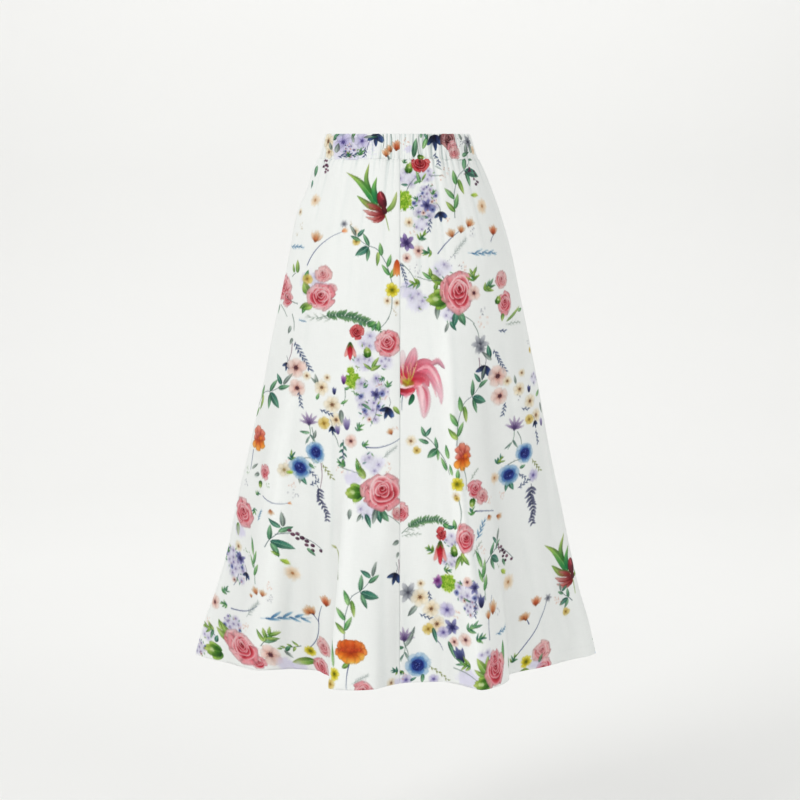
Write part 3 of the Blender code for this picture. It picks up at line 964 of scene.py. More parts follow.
def sprig(cloth, x, y, length, angle=0, n=7, bend=0.3, tone=0, size=None, stem=(70, 92, 96), slim=0.44, pairs=False, taper=0.3):
    """Leaves along a curved stem that starts at x, y."""
    g = cloth.rng
    size = size or length * 0.24
    pts, headings = [], []
    for k in range(9):
        t = k / 8
        head = angle + bend * 57 * t
        pts.append((x, y) if k == 0 else polar(*pts[-1], head, length / 8))
        headings.append(head)
    stroke(cloth, pts, 0.95, 0.5, stem, 0.85)
    pts = np.array(pts)
    for k in range(n):
        t = 0.12 + 0.86 * k / max(n - 1, 1)
        i = min(int(t * 8), 7)
        f = t * 8 - i
        px, py = pts[i] * (1 - f) + pts[i + 1] * f
        sides = (-1, 1) if pairs else ((-1) ** k,)
        for s in sides:
            turn = s * g.uniform(30, 56) if k < n - 1 else s * g.uniform(0, 14)
            leaf(cloth, px, py, headings[i] + turn, size * (1 - taper * t) * g.uniform(0.85, 1.12), size * slim * (1 - taper * t), tone if not isinstance(tone, int) else (tone + int(g.integers(0, 2))) % 4)
    return pts


def fern(cloth, x, y, length, angle=0, bend=1.1, tone=((50, 104, 66), (120, 164, 104)), n=26, size=0.10):
    """A dense arching frond that starts thin and grassy and ends in a curl."""
    g = cloth.rng
    pts, headings = [], []
    for k in range(25):
        t = k / 24
        headings.append(angle + bend * 57 * t)
        pts.append((x, y) if k == 0 else polar(*pts[-1], headings[-1], length / 24))
    stroke(cloth, pts[::3], 0.9, 0.9, (86, 112, 96), 0.8)
    for k in range(4, 25):
        t = k / 24
        for s in (-1, 1):
            w = length * size * np.sin(np.pi * min(1, t * 0.9 + 0.12)) ** 0.7 * g.uniform(0.8, 1.15)
            petal(cloth, *pts[k], headings[k] + s * g.uniform(38, 62), w, w * 0.42, tone[0], tone[1], round_=0.7, base=0.5, edge=0.2, alpha=0.85)


def grass(cloth, x, y, length, angle=0, bend=-0.3, tone=GREY, n=8):
    """A thin grey-green spray."""
    g = cloth.rng
    end = polar(x, y, angle + bend * 28, length)
    mid_p = polar(x, y, angle, length * 0.5)
    stroke(cloth, [(x, y), mid_p, end], 0.6, 0.5, tone[0], 0.65)
    for k in range(n):
        t = 0.15 + 0.8 * k / n
        px, py = x + (end[0] - x) * t, y + (end[1] - y) * t
        px, py = px + (mid_p[0] - (x + end[0]) / 2) * 4 * t * (1 - t), py + (mid_p[1] - (y + end[1]) / 2) * 4 * t * (1 - t)
        a = angle + bend * 57 * t + (-1) ** k * g.uniform(24, 40)
        petal(cloth, px, py, a, length * 0.26 * (1 - 0.4 * t), length * 0.026 + 0.6, tone[0], tone[1], round_=0.8, base=0.4, edge=0.1, alpha=0.6)


def feather(cloth, x, y, length, angle=0, tone=((56, 112, 158), (150, 196, 220)), n=9):
    """Slim blue leaf strokes along a short spine."""
    g = cloth.rng
    end = polar(x, y, angle, length)
    stroke(cloth, [(x, y), polar(x, y, angle + 3, length * 0.5), end], 0.6, 0.5, tone[0], 0.7)
    for k in range(n):
        t = 0.1 + 0.8 * k / n
        px, py = x + (end[0] - x) * t, y + (end[1] - y) * t
        a = angle + (-1) ** k * g.uniform(14, 34)
        petal(cloth, px, py, a, length * 0.30 * (1 - 0.35 * t), length * 0.062, tone[0], tone[1], round_=0.75, base=0.45, edge=0.18, alpha=0.85)


def bud_twig(cloth, x, y, length, angle=0, bend=0.5, flip=1, tone=((236, 148, 96), (250, 206, 160)), branches=3):
    """A fine dark-blue twig with orange buds."""
    g = cloth.rng
    pts, heads = [], []
    for k in range(9):
        t = k / 8
        heads.append(angle + flip * bend * 57 * t)
        pts.append((x, y) if k == 0 else polar(*pts[-1], heads[-1], length / 8))
    stroke(cloth, pts, 1.15, 0.6, (58, 70, 118), 0.9, (120, 130, 150))
    ends = [(pts[8], heads[8])]
    for k in range(branches):
        i = 4 + k
        a = heads[i] + flip * (-1) ** k * g.uniform(28, 46)
        e = polar(*pts[i], a, length * g.uniform(0.14, 0.24))
        stroke(cloth, [pts[i], e], 0.7, 0.5, (90, 100, 130), 0.8)
        ends.append((e, a))
    for (ex, ey), a in ends:
        s = length * 0.075 + 1.6
        for da in (-26, 0, 26):
            petal(cloth, ex, ey, a + da, s * g.uniform(0.85, 1.15), s * 0.46, tone[0], tone[1], round_=0.6, base=0.5, edge=0.2, alpha=0.88)


def berries(cloth, x, y, length, angle=0, tone=((70, 34, 62), (130, 70, 100)), n=10):
    g = cloth.rng
    end = polar(x, y, angle, length)
    stroke(cloth, [(x, y), polar(x, y, angle + 8, length * 0.5), end], 0.7, 0.5, (80, 90, 90), 0.8)
    for k in range(n):
        t = 0.2 + 0.8 * k / (n - 1)
        px, py = x + (end[0] - x) * t, y + (end[1] - y) * t
        px, py = px + g.uniform(-1, 1) * length * 0.14, py + g.uniform(-1, 1) * length * 0.12
        dab(cloth, px, py, g.uniform(1.5, 2.3), mix(tone[0], tone[1], np.float32(g.random())), 0.92)
        dab(cloth, px - 0.6, py - 0.6, 0.45, (214, 190, 210), 0.7)


def seed_head(cloth, x, y, size, angle=90):
    wash(cloth, x, y, size, size * 0.9, (242, 222, 196), 0.75, 0.35)
    for k in range(8):
        petal(cloth, x, y, 45 * k + angle, size * 0.95, size * 0.36, (226, 190, 148), (246, 230, 208), round_=0.45, base=0.5, edge=0.18, alpha=0.5)
    dab(cloth, x, y, size * 0.16, (180, 120, 70), 0.8, soft=2)


def grey_flower(cloth, x, y, size, angle=0):
    for k in range(6):
        petal(cloth, x, y, angle + 60 * k, size, size * 0.5, (120, 124, 136), (206, 208, 214), round_=0.7, base=0.55, edge=0.2, alpha=0.85, vein=0.12)
    dab(cloth, x, y, size * 0.14, (80, 80, 96), 0.8)


def leaf(cloth, x, y, angle, length, width, tone=0, bend=None, alpha=0.93):
    g = cloth.rng
    root, tip = TONES[tone % len(TONES)] if isinstance(tone, int) else tone
    if g.random() < 0.3:
        root, tip = tip, root
    bend = g.uniform(-0.15, 0.15) if bend is None else bend
    petal(cloth, x, y, angle, length, width * 0.88, root, tip, round_=0.92, base=0.6, bend=bend, edge=0.24, alpha=alpha, rib=(224, 236, 208) if width > 4.5 else None, half=0.18)


def part(x, y, s, a, flip, px, py):
    """A point of a motif's own little plan, turned to the angle and scaled."""
    c, n = np.cos(np.radians(a)), np.sin(np.radians(a))
    px = px * flip
    return x + s * (px * c - py * n), y + s * (px * n + py * c)


def plan(cloth, x, y, s, a, flip, stems, leaves, colour=(86, 104, 108)):
    """Stems and leaves from a plan: each leaf is foot x, foot y, tip x, tip y, width and tone."""
    for row in stems:
        stroke(cloth, [part(x, y, s, a, flip, *q) for q in row], 1.15, 0.7, colour, 0.85)
    for fx, fy, tx, ty, w, tone in leaves:
        p, q = part(x, y, s, a, flip, fx, fy), part(x, y, s, a, flip, tx, ty)
        l = float(np.hypot(q[0] - p[0], q[1] - p[1]))
        leaf(cloth, *p, float(np.degrees(np.arctan2(q[1] - p[1], q[0] - p[0]))), l, w * s, tone)


def vine(cloth, x, y, s, a=0, flip=1):
    plan(cloth, x, y, s, a, flip, VINE_STEMS, VINE_LEAVES)


def small_vine(cloth, x, y, s, a=0, flip=1):
    plan(cloth, x, y, s, a, flip, (((12, -40), (18, -47), (25, -53), (30, -60)),), TOP_LEAVES)


def berry_vine(cloth, x, y, s, a=0, flip=1, branch=True):
    g = cloth.rng
    shift = [(fx - 20, fy + 44, tx - 20, ty + 44, w, t) for fx, fy, tx, ty, w, t in TOP_LEAVES]
    plan(cloth, x, y, s, a, flip, (((-8, 5), (-2, -3), (5, -9), (10, -16)), ((4, -9), (16, -10), (28, -5), (40, 4))), shift)
    for px, py, r in ((15, -13, 1.7), (17, -9, 1.9), (21, -10, 1.7), (20, -5, 1.6), (24, -6, 2.0), (27, -3, 1.8), (26, 1, 1.6), (31, 1, 1.8), (30, 6, 1.6), (38, 5, 1.6)):
        q = part(x, y, s, a, flip, px, py)
        dab(cloth, *q, r * s, mix((66, 34, 58), (126, 76, 100), np.float32(g.random())), 0.93)
        dab(cloth, q[0] - 0.5 * s, q[1] - 0.6 * s, 0.4 * s, (206, 180, 204), 0.7)
    leaf(cloth, *part(x, y, s, a, flip, 26, 4), a + 60 * flip + (0 if flip > 0 else 180), 9 * s, 4 * s, 0)


def star(cloth, x, y, s, a=0, v=0):
    """A loose five-pointed flower in blue-violet."""
    g = cloth.rng
    tones = (((52, 50, 112), (146, 148, 204)), ((66, 46, 110), (150, 124, 190)), ((120, 40, 130), (214, 150, 210)))[v % 3]
    start = g.uniform(0, 360)
    for k in range(6):
        t = start + 60 * k + g.uniform(-14, 14)
        petal(cloth, x, y, t, s * g.uniform(0.75, 1.15), s * 0.52, tones[0], tones[1], round_=0.6, base=0.5, edge=0.22, alpha=0.88, vein=0.15, wave=0.1, wet=0.9)
    dab(cloth, x, y, s * 0.2, tones[0], 0.85, soft=2)


def violet_spike(cloth, x, y, s, a=-90, v=0):
    tones = (((96, 50, 128), (196, 140, 200)), ((38, 42, 92), (96, 104, 160)), ((112, 96, 156), (190, 182, 218)))[v % 3]
    for da, l in ((-20, 0.9), (18, 0.9), (-6, 1.0), (6, 0.8)):
        petal(cloth, x, y, a + da, s * l * 1.1, s * 0.34, tones[0], tones[1], round_=0.75, base=0.5, edge=0.22, alpha=0.88, vein=0.12)


def leaf_bush(cloth, x, y, s, a=0, v=0):
    """A small tuft of leaves that fans out along the angle."""
    g = cloth.rng
    n = 5 if s < 8 else 8
    for k in range(n):
        t = k / (n - 1) - 0.5
        away = 0.55 * s * (k % 3) / 2
        px, py = polar(x, y, a + g.uniform(-12, 12), away)
        leaf(cloth, px, py, a + 118 * t + g.uniform(-8, 8), s * g.uniform(0.55, 0.85), s * g.uniform(0.20, 0.30), (v, v, (v + 1) % 4)[int(g.integers(0, 3))])


def small_bud(cloth, x, y, s, a=-90, v=0):
    tones = ((238, 150, 96), (251, 214, 170)) if v == 0 else ((224, 96, 50), (248, 180, 130))
    for da in (-38, 36, -15, 13, 0):
        petal(cloth, x, y, a + da, s * (0.86 if da else 0.95), s * 0.36, tones[0], tones[1], round_=0.7, base=0.5, edge=0.30, alpha=0.84, vein=0.26, wave=0.10, wet=0.8, fade=0.30)
    dab(cloth, x, y, s * 0.12, (150, 80, 40), 0.8)


def navy_sprig(cloth, x, y, s, a=0, v=0):
    n = max(4, int(s / 3))
    end = polar(x, y, a, s)
    stroke(cloth, [(x, y), polar(x, y, a + 4, s * 0.5), end], 0.8, 0.5, (70, 80, 110), 0.75)
    g = cloth.rng
    for k in range(n):
        t = (k + 0.5) / n
        px, py = x + (end[0] - x) * t, y + (end[1] - y) * t
        petal(cloth, px, py, a + (-1) ** k * g.uniform(28, 48), 4.6 + s * 0.045, 1.9 + s * 0.012, (42, 58, 100), (104, 124, 160), round_=0.7, base=0.5, edge=0.2, alpha=0.86)


def blade(cloth, x, y, s, a=-90, v=0):
    petal(cloth, x, y, a, s, s * 0.13, (96, 120, 40), (196, 206, 120), round_=1.0, base=0.35, bend=-0.10, edge=0.25, alpha=0.9, half=0.25)
    q = polar(x, y, a - 6, s * 0.93)
    petal(cloth, *q, a - 62, s * 0.24, s * 0.07, (150, 160, 70), (206, 210, 150), round_=0.9, base=0.4, edge=0.2, alpha=0.8)


def grass_vine(cloth, x, y, s, a=-90, v=0):
    """Tall slim leaves along an upright stem."""
    pts = [(x, y), polar(x, y, a + 3, s * 0.5), polar(x, y, a - 3, s)]
    stroke(cloth, pts, 1.0, 0.6, (96, 130, 110), 0.8)
    for t, da, l, w in ((0.18, 22, 0.30, 0.085), (0.34, -20, 0.28, 0.07), (0.42, 18, 0.34, 0.09), (0.62, -8, 0.36, 0.085)):
        q = polar(x, y, a, s * t)
        leaf(cloth, *q, a + da, s * l, s * w, 1)


def dots(cloth, x, y, s, v=0):
    g = cloth.rng
    tone = ((180, 160, 120), (226, 150, 120), (96, 140, 84), (130, 132, 150))[v % 4]
    for k in range(max(3, int(s * 1.1))):
        px, py = polar(x, y, g.uniform(0, 360), s * np.sqrt(g.random()))
        petal(cloth, px, py, g.uniform(0, 360), g.uniform(1.3, 3.0), g.uniform(0.9, 1.7), tone, mix(tone, (240, 236, 230), np.float32(0.4)), alpha=0.75, edge=0.1)


def olive_sprig(cloth, x, y, s, a=0, v=0):
    end = polar(x, y, a, s)
    stroke(cloth, [(x, y), end], 0.7, 0.5, (120, 130, 80), 0.7)
    g = cloth.rng
    for k in range(8):
        t = (k + 1) / 8
        leaf(cloth, x + (end[0] - x) * t, y + (end[1] - y) * t, a + (-1) ** k * g.uniform(26, 46), 5.6, 2.3, ((126, 140, 60), (196, 204, 140)))


def single_lilac(cloth, x, y, s):
    small_flower(cloth, x, y, s, (220, 216, 238), (172, 164, 210), (92, 82, 146))


def curve(points, n):
    """A smooth line through the points."""
    p = np.asarray(points, float)
    if len(p) < 3:
        t = np.linspace(0, 1, n)[:, None]
        return p[0] * (1 - t) + p[-1] * t
    t = np.linspace(0, len(p) - 1, n)
    i = np.clip(t.astype(int), 0, len(p) - 2)
    f = (t - i)[:, None]
    q = np.vstack((2 * p[0] - p[1], p, 2 * p[-1] - p[-2]))
    a, b, c, d = q[i], q[i + 1], q[i + 2], q[i + 3]
    return 0.5 * (2 * b + (c - a) * f + (2 * a - 5 * b + 4 * c - d) * f**2 + (3 * b - a - 3 * c + d) * f**3)


def ribbon(cloth, points, width, root, tip, base=0.5, round_=0.7, edge=0.2, alpha=0.96, vein=0.0, rib=None, lit=None, half=0.0, wet=0.5, fade=0.0, wave=0.0):
    """A petal or leaf that follows a curved line, from its foot to its tip."""
    p = curve(points, 25)
    pad = width * 0.62 + 1
    found = cloth.window(p[:, 0].min() - pad, p[:, 0].max() + pad, p[:, 1].min() - pad, p[:, 1].max() + pad)
    if found is None:
        return
    rows, cols, gx, gy = found
    step = np.hypot(*np.diff(p, axis=0).T)
    run = np.concatenate(([0], np.cumsum(step)))
    total = run[-1]
    run = run / total
    best = np.full((gy.shape[0], gx.shape[1]), 1e9)
    where, side = np.zeros_like(best), np.zeros_like(best)
    for m in range(len(p) - 1):
        ax, ay = p[m]
        ex, ey = p[m + 1] - p[m]
        ll = max(ex * ex + ey * ey, 1e-9)
        h = ((gx - ax) * ex + (gy - ay) * ey) / ll
        h = np.clip(h, 0, 1)
        qx, qy = gx - ax - h * ex, gy - ay - h * ey
        dist = np.hypot(qx, qy)
        near = dist < best
        best = np.where(near, dist, best)
        where = np.where(near, run[m] + h * (run[m + 1] - run[m]), where)
        side = np.where(near, np.sign(ex * qy - ey * qx) * dist, side)
    peak = (base / (base + round_)) ** base * (round_ / (base + round_)) ** round_
    tc = np.clip(where, 1e-3, 1 - 1e-3)
    prof = width / 2 * tc**base * (1 - tc) ** round_ / peak
    if wave:
        k = cloth.rng.uniform(0, 6.28, 2)
        prof = prof * (1 + wave * np.sin(tc * 11 + k[0]) * 0.5 + wave * np.sin(tc * 23 + k[1]) * 0.4)
    gap = prof - np.abs(side)
    cover = np.clip(gap / STEP * 0.9 + 0.5, 0, 1)
    grain = cloth.grain[rows, cols]
    s = where * where * (3 - 2 * where)
    colour = mix(root, tip, np.clip(s + (grain - 0.5) * 0.4, 0, 1))
    q = side / np.maximum(prof, 0.3)
    if half:
        colour *= (1 - half * np.clip(q * 2.5, 0, 1))[..., None]
    if vein:
        colour *= (1 - vein * (0.5 + 0.5 * np.cos(q * 11 + np.sin(where * 7))) * (1 - s * 0.3))[..., None]
    if rib is not None:
        line = np.clip(1 - np.abs(side) / 0.5, 0, 1) * np.clip((1.0 - where) * 3, 0, 1)
        colour += (np.asarray(rib, np.float32) - colour) * (line * 0.7)[..., None]
    rim = np.exp(-np.maximum(gap, 0) / (0.05 * width + 0.35))
    if lit is not None:
        colour += (np.asarray(lit, np.float32) - colour) * (rim * 0.85)[..., None]
    else:
        colour *= (1 - edge * rim)[..., None]
    colour *= (1 - 0.22 * wet * (grain - 0.5))[..., None]
    a_ = cover * alpha * (1 - wet * 0.2 * grain)
    if fade:
        a_ = a_ * (1 - fade * s)
    cloth.lay(rows, cols, np.clip(colour, 0, 255), np.clip(a_, 0, 1))


def cup(cloth, cx, cy, outer, thick, angle, span, root, tip, lit, squash=1.0, wave=0.06, alpha=0.97, cast=0.35):
    """A curled petal seen from above: a crescent round the middle, light at its rolled outer rim and deep at its foot."""
    reach = outer * 1.2
    found = cloth.window(cx - reach, cx + reach, cy - reach, cy + reach)
    if found is None:
        return
    rows, cols, gx, gy = found
    dx, dy = gx - cx, (gy - cy) / squash
    rr = np.hypot(dx, dy)
    th = (np.degrees(np.arctan2(dy, dx)) - angle + 540) % 360 - 180
    u = np.clip(th / (span / 2), -1, 1)
    k = cloth.rng.uniform(0, 6.28)
    ro = outer * (1 + wave * np.sin(np.radians(th) * 3.2 + k)) * (1 - 0.16 * u**4)
    taper = np.sqrt(np.clip(1 - u * u, 0, 1))
    ri = ro - thick * taper
    inside = np.minimum(ro - rr, rr - ri)
    inside = np.where(np.abs(th) < span / 2, inside, -1e3)
    t = np.clip((rr - ri) / np.maximum(ro - ri, 0.3), 0, 1)
    # the shadow that the petal casts on what lies inside it
    shade = np.clip(1 - (ri - rr) / (thick * 0.5), 0, 1) * (rr < ri) * (np.abs(th) < span / 2) * taper
    grain = cloth.grain[rows, cols]
    cloth.lay(rows, cols, np.asarray(root, np.float32) * 0.8 + np.zeros((*shade.shape, 3), np.float32), np.clip(shade * cast, 0, 1))
    colour = mix(root, tip, np.clip(t**0.8 + (grain - 0.5) * 0.45, 0, 1))
    roll = np.exp(-(((1 - t) * thick - 0.10 * thick) / (0.14 * thick + 0.25)) ** 2)
    colour += (np.asarray(lit, np.float32) - colour) * (roll * (0.85 - 0.35 * grain))[..., None]
    line = np.exp(-np.maximum(ro - rr, 0) / 0.45)
    colour *= (1 - 0.26 * line)[..., None]
    cloth.lay(rows, cols, np.clip(colour, 0, 255), np.clip(inside / STEP * 0.9 + 0.5, 0, 1) * alpha)


def rose(cloth, x, y, size, angle=0, shades=ROSE, turn=1):
    """A full rose seen from above and a little from below: wide outer petals, curled cups and a spiral heart."""
    g = cloth.rng
    deep, mid, light = (np.asarray(c, np.float32) for c in shades)
    white = light * 0.2 + np.float32(255) * 0.8
    tilt = g.uniform(-110, -70)  # the heart sits towards this side
    count = 5 if size < 14 else 6
    start = angle + g.uniform(0, 60)
    for k in g.permutation(count):
        a = start + 360 * k / count + g.uniform(-14, 14)
        tone = g.uniform(0, 1)
        petal(cloth, *polar(x, y, a, size * 0.05), a, size * g.uniform(0.88, 1.08), size * g.uniform(0.95, 1.2), mix(deep, mid, np.float32(0.15 * tone)), mix(mid, light, np.float32(0.45 + 0.55 * tone)), round_=0.22, base=0.8, bend=g.uniform(-0.14, 0.14), edge=0.30, alpha=0.97, wave=0.09, vein=0.10)
        # a fold of the petal: a deep line and a pale one beside it
        b = a + g.uniform(-18, 18)
        for turned, tint, share in ((0, deep, 0.5), (5, white, 0.8)):
            stroke(cloth, [polar(x, y, b - 12 + turned, size * 0.56), polar(x, y, b + 2 + turned, size * 0.78), polar(x, y, b + 13 + turned, size * 0.92)], size * 0.06, 0.3, tint, share)
    rings = ((0.84, 0.36, 4, 120), (0.62, 0.30, 3, 150), (0.43, 0.24, 3, 150), (0.27, 0.17, 2, 215), (0.14, 0.11, 1, 300))
    for ring, (outer, thick, n, span) in enumerate(rings):
        if size * thick < 1.1:
            break
        cx, cy = polar(x, y, tilt, size * 0.055 * ring)
        start = angle + g.uniform(0, 360)
        for k in g.permutation(n):
            a = start + 360 * k / n + g.uniform(-16, 16)
            facing = 0.5 + 0.5 * np.cos(np.radians(a - tilt))  # those on the far side show their pale inner face
            root = mix(deep * 0.9, mid, np.float32(0.02 + 0.28 * facing * g.uniform(0.5, 1)))
            tip = mix(mid, light, np.float32(np.clip(0.12 + 0.8 * facing + g.uniform(-0.3, 0.3), 0, 1)))
            cup(cloth, cx, cy, size * outer * g.uniform(0.93, 1.06), size * thick, a, span * g.uniform(0.85, 1.1), root, tip, mix(light, white, np.float32(g.uniform(0.4, 1.0))), wave=0.07, cast=0.62)
    cx, cy = polar(x, y, tilt, size * 0.24)
    dab(cloth, cx, cy, size * 0.085, deep * 0.8, 0.9, soft=2)


def blue_rose(cloth, x, y, size, angle=0):
    """A blue flower: ragged pale petals round a navy, swirled middle."""
    g = cloth.rng
    start = g.uniform(0, 360)
    for k in g.permutation(8):
        a = start + 45 * k + g.uniform(-9, 9)
        petal(cloth, x, y, a, size * g.uniform(0.92, 1.08), size * 0.80, (92, 134, 188), mix((150, 190, 220), (200, 222, 236), np.float32(g.random())), round_=0.26, base=0.6, bend=g.uniform(-0.1, 0.1), edge=0.12, alpha=0.90, vein=0.10, wave=0.08, wet=0.9)
    for k in g.permutation(6):
        a = start + 20 + 60 * k + g.uniform(-9, 9)
        petal(cloth, x, y, a, size * g.uniform(0.66, 0.78), size * 0.62, (26, 44, 118), (100, 148, 200), round_=0.28, base=0.6, bend=g.uniform(-0.1, 0.1), edge=0.15, alpha=0.9, wet=0.8)
    dab(cloth, x, y, size * 0.50, (22, 30, 112), 0.9, soft=size * 0.12)
    for outer, thick, n, span in ((0.50, 0.18, 4, 100), (0.36, 0.15, 3, 120), (0.22, 0.12, 3, 120)):
        s0 = g.uniform(0, 360)
        for k in range(n):
            cup(cloth, x, y, size * outer, size * thick, s0 + 360 * k / n + g.uniform(-12, 12), span, (16, 22, 92), (40, 70, 164), mix((84, 124, 204), (168, 190, 236), np.float32(g.random() * 0.6)), cast=0.3)
    for k in range(5):
        dab(cloth, *polar(x, y, g.uniform(0, 360), size * g.uniform(0.05, 0.34)), max(size * 0.05, 0.5), (150, 164, 226), 0.7)


def bloom(cloth, x, y, s, angle=-90, v=0):
    """A full double flower with crumpled lobes: coral above and orange below, or orange all over."""
    g = cloth.rng
    coral, coral2 = (206, 84, 74), (240, 150, 124)
    orange, orange2 = (226, 104, 20), (252, 176, 70)
    dark = (150, 44, 30)
    a0 = angle

    def lobe(ux, uy, da, l, w, root, tip):
        p = part(x, y, s, a0 + 90, 1, ux, uy)
        petal(cloth, *p, a0 + 90 + da, l * s, w * s, root, tip, round_=0.24, base=0.62, bend=g.uniform(-0.08, 0.08), edge=0.30, alpha=0.97, wave=0.08, vein=0.08)

    if v == 1:  # wide: rows of frilled petals, seen from the side
        for ux, uy, da, l, w in ((0, 0, -150, 1.0, 0.6), (0, 0, -30, 1.0, 0.6), (-0.1, 0.1, -120, 0.9, 0.66), (0.1, 0.1, -62, 0.9, 0.66), (0, 0.1, -90, 0.86, 0.74), (-0.1, 0.1, -172, 0.98, 0.5), (0.1, 0.1, -8, 0.98, 0.5)):
            lobe(ux, uy, da, l, w, (190, 64, 24), mix((232, 116, 44), (250, 172, 92), np.float32(g.random())))
        for ux, uy, da, l, w in ((-0.25, 0.25, -140, 0.6, 0.56), (0.25, 0.25, -40, 0.6, 0.56), (0, 0.3, -100, 0.62, 0.6), (0.1, 0.32, -70, 0.55, 0.5)):
            lobe(ux, uy, da, l, w, (170, 50, 24), mix((226, 96, 44), (246, 150, 84), np.float32(g.random())))
        for ux, uy, da, l, w in ((-0.05, 0.05, 158, 0.88, 0.5), (0.05, 0.05, 22, 0.88, 0.5), (-0.05, 0.1, 125, 0.72, 0.56), (0.05, 0.1, 58, 0.72, 0.56), (0, 0.1, 90, 0.66, 0.6)):
            lobe(ux, uy, da, l, w, (214, 92, 24), mix((246, 150, 40), (252, 204, 96), np.float32(g.random())))
        for q in range(7):
            b = g.uniform(-0.8, 0.8)
            pts = [part(x, y, s, a0 + 90, 1, b - 0.14, -0.1 + g.uniform(-0.2, 0.2)), part(x, y, s, a0 + 90, 1, b, 0.0 + g.uniform(-0.2, 0.2)), part(x, y, s, a0 + 90, 1, b + 0.14, -0.06 + g.uniform(-0.2, 0.2))]
            stroke(cloth, pts, s * 0.06, 0.3, dark, 0.5)
        return
    wash(cloth, x, y, s * 0.62, s * 0.62, (214, 92, 50), 0.95, 0.3)
    for ux, uy, da, l, w in ((-0.1, -0.1, -128, 0.85, 0.62), (0.1, -0.1, -52, 0.85, 0.62), (0, -0.15, -92, 0.95, 0.72)):
        lobe(ux, uy, da, l, w, coral, coral2)
    lobe(0.15, 0.15, -38, 0.70, 0.62, (196, 70, 50), (236, 130, 90))
    lobe(-0.1, 0.15, -150, 0.62, 0.62, coral, (240, 160, 140))
    for ux, uy, da, l, w in ((0.05, 0.2, 18, 0.66, 0.56), (-0.1, 0.1, 130, 0.95, 0.60), (0.1, 0.1, 52, 0.86, 0.60), (0, 0.1, 92, 1.0, 0.62)):
        lobe(ux, uy, da, l, w, orange, orange2)
    lobe(0.22, 0.28, -80, 0.52, 0.44, orange, (252, 160, 60))
    lobe(-0.18, 0.0, -84, 0.5, 0.5, coral, (246, 168, 150))
    for x0, y0, x1, y1, x2, y2 in ((0.05, 0.3, 0.12, 0.0, 0.02, -0.35), (-0.45, 0.15, -0.1, 0.22, 0.1, 0.1), (0.1, 0.12, 0.4, 0.2, 0.6, 0.05), (-0.2, -0.5, -0.05, -0.3, 0.0, -0.1), (0.3, -0.55, 0.2, -0.3, 0.12, -0.1)):
        stroke(cloth, [part(x, y, s, a0 + 90, 1, x0, y0), part(x, y, s, a0 + 90, 1, x1, y1), part(x, y, s, a0 + 90, 1, x2, y2)], s * 0.07, 0.4, dark, 0.55)


